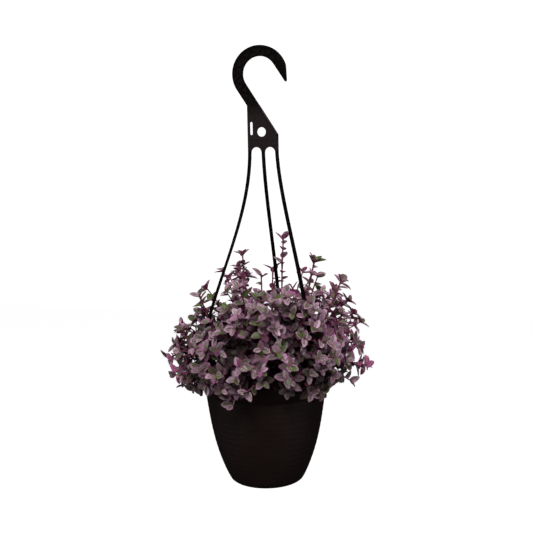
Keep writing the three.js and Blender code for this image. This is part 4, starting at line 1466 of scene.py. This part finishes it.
def leaf_tone(leaf, draws):
    """A leaf's share of green, its age with painted shade, and its own character. Leaves deep in the plant
    get painted shade: the deeper, the darker.
    """
    x, y, z = leaf["point"] / (DOME_RADIUS, DOME_RADIUS, 1)
    depth = 1 - math.hypot(x, y, (z - DOME_BASE) / DOME_HEIGHT)
    # Age at random, plus painted shade that darkens leaves the deeper they lie in the plant.
    age_and_shade = DULLEST * draws.uniform() ** MOSTLY_FRESH + PAINTED_SHADE_INSIDE * max(0.0, depth)
    return (draws.beta(*GREEN_DRAW), min(age_and_shade, DARKEST_AGE_AND_SHADE), draws.uniform())


def mesh_growth(name, bearers, leaf_look, stem_look, draws):
    """One object with the stems and leaves of a plant or a group of shoots."""
    points = []
    faces = []
    places = []
    tones = []
    stem_faces = 0
    for bearer in bearers:
        joints = [leaf["point"] for leaf in bearer["leaves"]]
        stem, rings = tube(bearer["line"], bearer["radius"], joints)
        start = len(points)
        points.extend(stem)
        faces.extend(tuple(start + i for i in face) for face in rings)
        places.extend([(0.0, 0.0, 1.0)] * len(stem))
        tones.extend([(0.0, 0.0, 0.0)] * len(stem))
        stem_faces += len(rings)
    for bearer in bearers:
        for leaf in bearer["leaves"]:
            wave = [draws.uniform(*span) for span in BLADE_WAVES]
            blade, spots = blade_points(leaf, wave)
            start = len(points)
            points.extend(blade)
            faces.extend(map(tuple, BLADE_FACES + start))
            places.extend(spots)
            tone = leaf_tone(leaf, draws)
            tones.extend([tone] * len(blade))
    made = make_object(name, np.array([tuple(p) for p in points]), faces, leaf_look, -CROWN_TO_BASE)
    made.data.materials.append(stem_look)
    slots = np.zeros(len(faces), int)
    slots[:stem_faces] = 1
    made.data.polygons.foreach_set("material_index", slots)
    for label, values in (("blade", places), ("tone", tones)):
        layer = made.data.attributes.new(label, "FLOAT_VECTOR", "POINT")
        layer.data.foreach_set("vector", np.array(values, np.float32).ravel())
    soften(made, PLANT_SHARP)
    return made


class Room:
    """The space that is taken: hanger and pot as surfaces, leaves as points."""

    def __init__(self, hard_pieces, low, high):
        self.trees = [BVHTree.FromObject(p, bpy.context.evaluated_depsgraph_get()) for p in hard_pieces]
        self.spots = np.zeros((0, 3))
        self.low = low
        self.high = high
        bare = []
        for side, foot in zip((-1, 0, 1), BARE_LEG_FEET):
            shares = np.linspace(LEG_SIGHT_FROM, 1, LEG_SIGHT_POINTS)
            leg = [leg_point(side, share) + (0, 0, CROWN_TO_BASE) for share in shares]
            bare += [point for point in leg if point[2] > foot]
        self.bare_legs = np.array(bare)
        rises = np.linspace(0, 1, NOTCH_SIGHT_POINTS)
        self.notch = np.array([NOTCH_FOOT + (NOTCH_TOP - NOTCH_FOOT) * rise for rise in rises])

    def hard_gap(self, point):
        """Distance in millimetres from the pot and hanger, as far as it matters."""
        spot = Vector((point[0], point[1], point[2] - CROWN_TO_BASE)) * MM
        gaps = [tree.find_nearest(spot, GAP_REACH * MM)[3] for tree in self.trees]
        return min((gap / MM for gap in gaps if gap is not None), default=FAR_OFF)

    def holds(self, points, gap):
        """Whether points lie inside the object's box and clear of the pot and hanger."""
        inside = all((p > self.low).all() and (p < self.high).all() for p in points)
        return inside and all(self.hard_gap(p) > gap for p in points)

    def hides(self, point):
        """Whether growth there would hide a bare leg or close the notch in the crown."""
        sights = ((self.bare_legs, LEG_SIGHT, 0.0), (self.notch, NOTCH_SIGHT, -NOTCH_DEPTH))
        for spots, width, nearest in sights:
            off = point - spots
            ahead = off @ TO_FRONT
            aside = np.linalg.norm(off - ahead[:, None] * TO_FRONT, axis=1)
            if ((ahead > nearest) & (aside < width)).any():
                return True
        return False

    def too_low(self, point):
        """Whether a leaf would hang lower than they do there: they end higher at the plant's two sides."""
        azimuth = math.atan2(point[1], point[0])
        return point[2] < LOWEST_LEAF + LOWEST_AT_SIDES * math.cos(azimuth - SIDEWAYS) ** SIDE_NARROW

    def probes(self, leaf):
        """Points of a leaf that stand for all of it, the first at its middle."""
        end = leaf["point"] + leaf["along"] * leaf["length"] - leaf["face"] * leaf["droop"] * leaf["length"]
        middle = (leaf["point"] + end) / 2
        across = np.cross(leaf["face"], leaf["along"]) * leaf["width"] * 0.5
        lift = leaf["face"] * leaf["width"] * LEAF_FOLD
        return [middle, end, middle + across + lift, middle - across + lift, (middle + end) / 2]

    def takes(self, leaf, spacing):
        """Gives a leaf its place where there is room for it."""
        probes = self.probes(leaf)
        if len(self.spots) and np.min(np.linalg.norm(self.spots - probes[0], axis=1)) < spacing:
            return False
        if not self.holds(probes, LEAF_GAP) or any(self.hides(probe) for probe in probes):
            return False
        if any(self.too_low(probe) for probe in probes):
            return False
        self.take(leaf)
        return True

    def take(self, leaf):
        """Keeps the place of a leaf for it."""
        self.spots = np.vstack([self.spots, self.probes(leaf)[:1]])


def turned_to_light(leaf, share):
    """The same leaf rolled on its midrib, so that its upper face looks out of the plant and up."""
    out = (leaf["point"] - (0, 0, DOME_BASE)) * LIGHT_OUTWARD
    light = unit(out) + (0, 0, LIGHT_RISE) + TO_FRONT * LIGHT_FRONT
    level = light - leaf["along"] * (light @ leaf["along"])
    face = unit(leaf["face"] * (1 - share) + unit(level) * share)
    return {**leaf, "face": face}


def side_leaf(point, way, turn, draws):
    """A leaf off the side of a stem."""
    length = LEAF_LENGTH * draws.uniform(*SIDE_LEAF)
    droop = draws.uniform(*SIDE_DROOP)
    roll = either_way(draws, SIDE_ROLL)
    turn += either_way(draws, SIDE_SWAY)
    leaf = leaf_at(point, way, turn, draws.uniform(*SIDE_LEAN), length, droop, roll)
    return turned_to_light(leaf, TO_LIGHT * draws.uniform(*TO_LIGHT_SHARE))


def add_side_leaves(bearer, room, draws):
    """Alternate leaves along a stem, where there is room."""
    line = bearer["line"]
    lengths = np.linalg.norm(np.diff(line, axis=0), axis=1)
    travelled = np.concatenate([[0], np.cumsum(lengths)])
    turn = draws.uniform(0, 2 * math.pi)
    spot = travelled[-1] * BARE_SHARE
    while spot < travelled[-1] - ROSETTE_RUN:
        i = int(np.searchsorted(travelled, spot)) - 1
        way = unit(line[i + 1] - line[i])
        point = line[i] + way * (spot - travelled[i])
        for _ in range(LEAF_FITS):
            leaf = side_leaf(point, way, turn, draws)
            if room.takes(leaf, LEAF_SPACING):
                bearer["leaves"].append(leaf)
                break
            turn += FIT_TURN
        turn += math.pi + either_way(draws, ALTERNATE_SWAY)
        spot += draws.uniform(*LEAF_PITCH)


def add_rosette(bearer, room, draws):
    """Leaves crossed round the tip of a stem, smaller and steeper towards the growing point."""
    tip = bearer["line"][-1]
    heading = unit(tip - bearer["line"][-2])
    first = draws.uniform(0, 2 * math.pi)
    older = ROSETTE_GROWN if bearer["leaves"] else 0
    for k in range(older, ROSETTE_LEAVES + older // 2):
        share = k / ROSETTE_LEAVES
        smaller = 1.0 - ROSETTE_SMALLER * share
        length = LEAF_LENGTH * ROSETTE_LEAF * smaller * draws.uniform(*ROSETTE_SIZES)
        lean = ROSETTE_LEAN - ROSETTE_STEEPER * share + draws.uniform(*ROSETTE_LEAN_SWAY)
        point = tip - heading * (ROSETTE_RUN * (1 - share))
        droop = draws.uniform(*ROSETTE_DROOP)
        roll = either_way(draws, ROSETTE_ROLL)
        leaf = leaf_at(point, heading, first + k * ROSETTE_TURN, lean, length, droop, roll)
        leaf = turned_to_light(leaf, ROSETTE_TO_LIGHT)
        if room.takes(leaf, ROSETTE_SPACING):
            bearer["leaves"].append(leaf)


def add_leaves(bearers, room, draws):
    """The leaves that the scene gives to stems and twigs."""
    for bearer in bearers:
        add_rosette(bearer, room, draws)
        add_side_leaves(bearer, room, draws)


def side_twig(stem, share, room, draws):
    """A side twig off a point of a stem, where it passes clear of the hanger and pot."""
    line = stem["line"]
    i = min(int(share * (len(line) - 1)), len(line) - 2)
    way = unit(line[i + 1] - line[i])
    side, over = frame_of(way)
    for _ in range(TWIG_TRIES):
        swing = draws.uniform(*YOUNG_TWIG_SWING)
        spin = draws.uniform(0, 2 * math.pi)
        off = side * math.cos(spin) + over * math.sin(spin)
        end = line[i] + unit(way * math.cos(swing) + off * math.sin(swing)) * draws.uniform(*YOUNG_TWIG)
        middle = (line[i] + end) / 2 + over * either_way(draws, YOUNG_TWIG_BOW)
        twig = smooth_course([line[i], middle, end], SHOOT_STEPS)
        if room.holds(twig[1:], STEM_GAP) and not room.hides(end):
            return {"line": twig, "leaves": [], "radius": YOUNG_TWIG_RADIUS}
    return None


def fill_course(number, draws):
    """A young shoot's way from the soil to somewhere under the dome's skin."""
    share = math.sqrt((number + FILL_START) / FILL_SHOOTS)
    azimuth = number * GOLDEN_ANGLE + FILL_TURN + either_way(draws, FILL_SWAY)
    polar = np.clip(DOME_SPREAD * share + either_way(draws, FILL_POLAR_SWAY), *FILL_POLAR)
    least, most = FILL_SIZE
    size = least + (most - least) * draws.uniform() ** FILL_OUTWARD
    size *= FILL_MIDDLE + (1 - FILL_MIDDLE) * share
    reach = FILL_REACH * size * math.sin(polar) ** DOME_SHOULDER
    height = DOME_BASE + FILL_LIFT + DOME_HEIGHT * size * math.cos(polar) ** DOME_CROWN
    root_azimuth = azimuth + either_way(draws, FILL_SWAY)
    root_reach = FILL_ROOT_CIRCLE * share * draws.uniform(*FILL_ROOT_SHARE)
    return {
        "azimuth": azimuth,
        "root": place(root_azimuth, root_reach, 0),
        "tip": place(azimuth, reach, height),
        "lean": polar * FILL_LEAN,
        "rise": DOME_RISE + RIM_LIFT * max(0, polar - RIM_LIFT_FROM + FILL_RIM_LIFT),
        "bends": DOME_BENDS,
    }


def upper_course(number, draws):
    """The way of a taller young shoot that stands out of the dome's crown and shoulders."""
    share = math.sqrt((number + FILL_START) / UPPER_SHOOTS)
    azimuth = number * GOLDEN_ANGLE + UPPER_TURN + either_way(draws, UPPER_TURN)
    least, most = UPPER_REACH
    reach = least + (most - least) * share * draws.uniform(*UPPER_REACH_SHARE)
    height = UPPER_TOP - UPPER_FALL * share ** 2 - draws.uniform(0, UPPER_SPREAD)
    root_azimuth = azimuth + either_way(draws, FILL_SWAY)
    return {
        "azimuth": azimuth,
        "root": place(root_azimuth, UPPER_ROOT + TALL_ROOT_SHARE * reach, 0),
        "tip": place(azimuth, reach, height) + (UPPER_ASIDE, 0, 0),
        "lean": UPPER_LEAN + UPPER_LEAN_OUT * reach + either_way(draws, UPPER_LEAN_SWAY),
        "rise": TALL_RISE,
        "bends": TALL_BENDS,
    }


def sprig_course(number, draws):
    """The way of a shoot that ends at a set place of the plant's outline."""
    azimuth, reach, height, lean = SPRIG_TIPS[number]
    azimuth = math.radians(azimuth + either_way(draws, SPRIG_SWAY))
    over_rim = height < POT_HEIGHT
    tip_reach = reach + draws.uniform(0, SPRIG_SPREAD)
    tip_height = height + draws.uniform(0, SPRIG_SPREAD)
    return {
        "azimuth": azimuth,
        "root": place(azimuth, SPRIG_ROOT_SHARE * reach, 0),
        "tip": place(azimuth, tip_reach, tip_height),
        "lean": lean,
        "rise": DRAPE_RISE if over_rim else DOME_RISE,
        "bends": DRAPE_BENDS if over_rim else DOME_BENDS,
    }


def drape_course(number, draws):
    """The way of a young shoot that roots by the pot's wall and hangs a little over the rim."""
    azimuth = DRAPE_FROM + 2 * math.pi * number / DRAPE_SHOOTS + either_way(draws, DRAPE_SWAY)
    end = azimuth + either_way(draws, DRAPE_TIP_SWAY)
    drop = DRAPE_LOBE * math.cos(DRAPE_LOBES * (end - DRAPE_LOBE_AT))
    drop -= DRAPE_SIDE_LIFT * math.cos(end - SIDEWAYS) ** 2
    return {
        "azimuth": azimuth,
        "root": place(azimuth, draws.uniform(*DRAPE_ROOT), 0),
        "tip": place(end, draws.uniform(*DRAPE_REACH), draws.uniform(*DRAPE_HEIGHT) - drop),
        "lean": draws.uniform(*DRAPE_LEAN),
        "rise": DRAPE_RISE,
        "bends": DRAPE_BENDS,
    }


def young_shoot(course_of, number, room, draws):
    """A shoot with its twigs, at the first try that passes clear of the hanger and pot."""
    for _ in range(SHOOT_TRIES):
        line = smooth_course(stem_points(course_of(number, draws)), SHOOT_STEPS)
        clear = min(room.hard_gap(p) for p in line[SHOOT_STEPS:]) > STEM_GAP
        if clear and not any(room.hides(p) for p in line):
            shoot = {"line": line, "leaves": [], "radius": YOUNG_STEM_RADIUS}
            twigs = [side_twig(shoot, share, room, draws) for share in YOUNG_TWIG_PLACES]
            return [shoot, *[twig for twig in twigs if twig is not None]]
    return []


def add_camera():
    """The camera of the photograph: its lens, place, aim and slight roll."""
    data = bpy.data.cameras.new("camera")
    data.sensor_width = SENSOR
    data.lens = SENSOR * FOCAL_PX / PICTURE_PX
    data.shift_x = (PICTURE_PX / 2 - AXIS_PX) / PICTURE_PX
    data.clip_end = FAR_CLIP_M
    camera = bpy.data.objects.new("camera", data)
    spot = Vector((
        CAMERA_DISTANCE * math.sin(CAMERA_AZIMUTH),
        -CAMERA_DISTANCE * math.cos(CAMERA_AZIMUTH),
        CAMERA_HEIGHT,
    )) * MM
    aim = Vector((0, 0, AIM_HEIGHT * MM))
    turn = (aim - spot).to_track_quat("-Z", "Y").to_matrix().to_4x4()
    camera.matrix_world = Matrix.Translation(spot) @ turn @ Matrix.Rotation(-CAMERA_ROLL, 4, "Z")
    bpy.context.scene.collection.objects.link(camera)
    bpy.context.scene.camera = camera


def add_light(name, spot, size, power):
    """A soft square lamp turned to the plant."""
    data = bpy.data.lights.new(name, "AREA")
    data.size = size
    data.energy = power
    light = bpy.data.objects.new(name, data)
    light.location = spot
    light.rotation_euler = (Vector(LIGHT_AIM_M) - Vector(spot)).to_track_quat("-Z", "Y").to_euler()
    bpy.context.scene.collection.objects.link(light)


def white_card(name, glow, corners_m, faces):
    """A pale studio surface that the camera sees and that throws no light on the object."""
    material, tree, place_on = new_material("painted_studio_" + name)
    mottle = add(tree, "TexNoise", {}, Vector=place_on, Scale=6.0)
    colour = add(tree, "Mix", COLOUR, mottle, linear("F4F4F4"), linear("FAFAFA"))
    shader = add(tree, "BsdfPrincipled", {}, Base_Color=colour, Roughness=0.8, Emission_Color=(1, 1, 1, 1),
                 Emission_Strength=glow)
    add(tree, "OutputMaterial", {}, shader)
    mesh = bpy.data.meshes.new(name)
    mesh.from_pydata(corners_m, [], faces)
    mesh.materials.append(material)
    card = bpy.data.objects.new(name, mesh)
    bpy.context.scene.collection.objects.link(card)
    card.visible_diffuse = False
    card.visible_glossy = False
    card.visible_transmission = False
    card.visible_shadow = False


def add_studio():
    """A pale floor well below the hanging pot, pale walls round it and soft lights."""
    world = bpy.data.worlds.new("studio")
    world.use_nodes = True
    world.node_tree.nodes["Background"].inputs["Color"].default_value = (1, 1, 1, 1)
    world.node_tree.nodes["Background"].inputs["Strength"].default_value = WORLD_GLOW
    bpy.context.scene.world = world
    bpy.context.scene.view_settings.view_transform = "Standard"
    for name, spot, size, power in LIGHTS:
        add_light(name, spot, size, power)
    half = STUDIO_HALF_M
    low_edge = (-CROWN_TO_BASE - FLOOR_DROP) * MM
    corners = ((-half, -half), (half, -half), (half, half), (-half, half))
    ground = [(x, y, low_edge) for x, y in corners]
    white_card("floor", FLOOR_GLOW, ground, [(0, 1, 2, 3)])
    above = [(x, y, z + 2 * half) for x, y, z in ground]
    walls = [(0, 4, 5, 1), (1, 5, 6, 2), (2, 6, 7, 3), (3, 7, 4, 0), (4, 7, 6, 5)]
    white_card("backdrop", WALL_GLOW, ground + above, walls)


def keep(piece, slot_name, *nodes):
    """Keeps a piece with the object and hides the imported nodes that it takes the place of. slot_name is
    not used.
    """
    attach(piece, "root")
    if nodes:
        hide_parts(*nodes)


add_camera()
add_studio()

pot_plastic = moulded_plastic("moulded_pot_polypropylene", "191110", "211918", gloss=0.54, shine=0.06,
                              grain_mm=0.9, grain_depth=0.05)
hanger_plastic = moulded_plastic("moulded_hanger_polypropylene", "060403", "0E0908", gloss=0.5, shine=0.035,
                                 grain_mm=0.7, grain_depth=0.04, painted_light_field="201A1A")
mix_look = peat_mix()
leaf_look = living_leaf()
stem_look = fleshy_stem()

pot = make_pot(pot_plastic)
keep(pot, "pot_plastic", "pot")
hanger = make_hanger(hanger_plastic)
keep(hanger, "hanger_plastic", "hanger")
keep(make_soil(mix_look), "potting_mix", "soil")
keep(make_crumbs(mix_look), "potting_mix")

low = np.array(cad_box[0]) / MM + (0, 0, CROWN_TO_BASE)
high = np.array(cad_box[1]) / MM + (0, 0, CROWN_TO_BASE)
low[2] = LOWEST_LEAF
room = Room([pot, hanger], low, high)
plants = []
for plant in range(len(TALL_SHOOTS) + DOME_PLANTS):
    bearers = packed_plant(plant)
    for bearer in bearers:
        bearer["line"] = smooth_course(bearer["points"], PLANT_STEPS)
        if plant < len(TALL_SHOOTS):
            bearer["leaves"] = [turned_to_light(leaf, TALL_TO_LIGHT) for leaf in bearer["leaves"]]
        for leaf in bearer["leaves"]:
            room.take(leaf)
    plants.append(bearers)

for plant, bearers in enumerate(plants):
    draws = np.random.default_rng(FILL_SEED + PLANT_SEEDS + plant)
    add_leaves(bearers, room, draws)
    name = f"leafy_stem_{plant + 1:02d}"
    keep(mesh_growth(name + "_fine", bearers, leaf_look, stem_look, draws), "foliage", name)

groups = [[] for _ in range(YOUNG_GROUPS)]
courses = [
    (sprig_course, len(SPRIG_TIPS)),
    (drape_course, DRAPE_SHOOTS),
    (upper_course, UPPER_SHOOTS),
    (fill_course, FILL_SHOOTS),
]
for kind, (course_of, count) in enumerate(courses):
    for number in range(count):
        draws = np.random.default_rng((FILL_SEED, kind, number))
        bearers = young_shoot(course_of, number, room, draws)
        add_leaves(bearers, room, draws)
        groups[number % YOUNG_GROUPS].extend(bearers)
for number, bearers in enumerate(groups):
    draws = np.random.default_rng(FILL_SEED + GROUP_SEEDS + number)
    keep(mesh_growth(f"young_shoots_{number + 1}", bearers, leaf_look, stem_look, draws), "foliage")
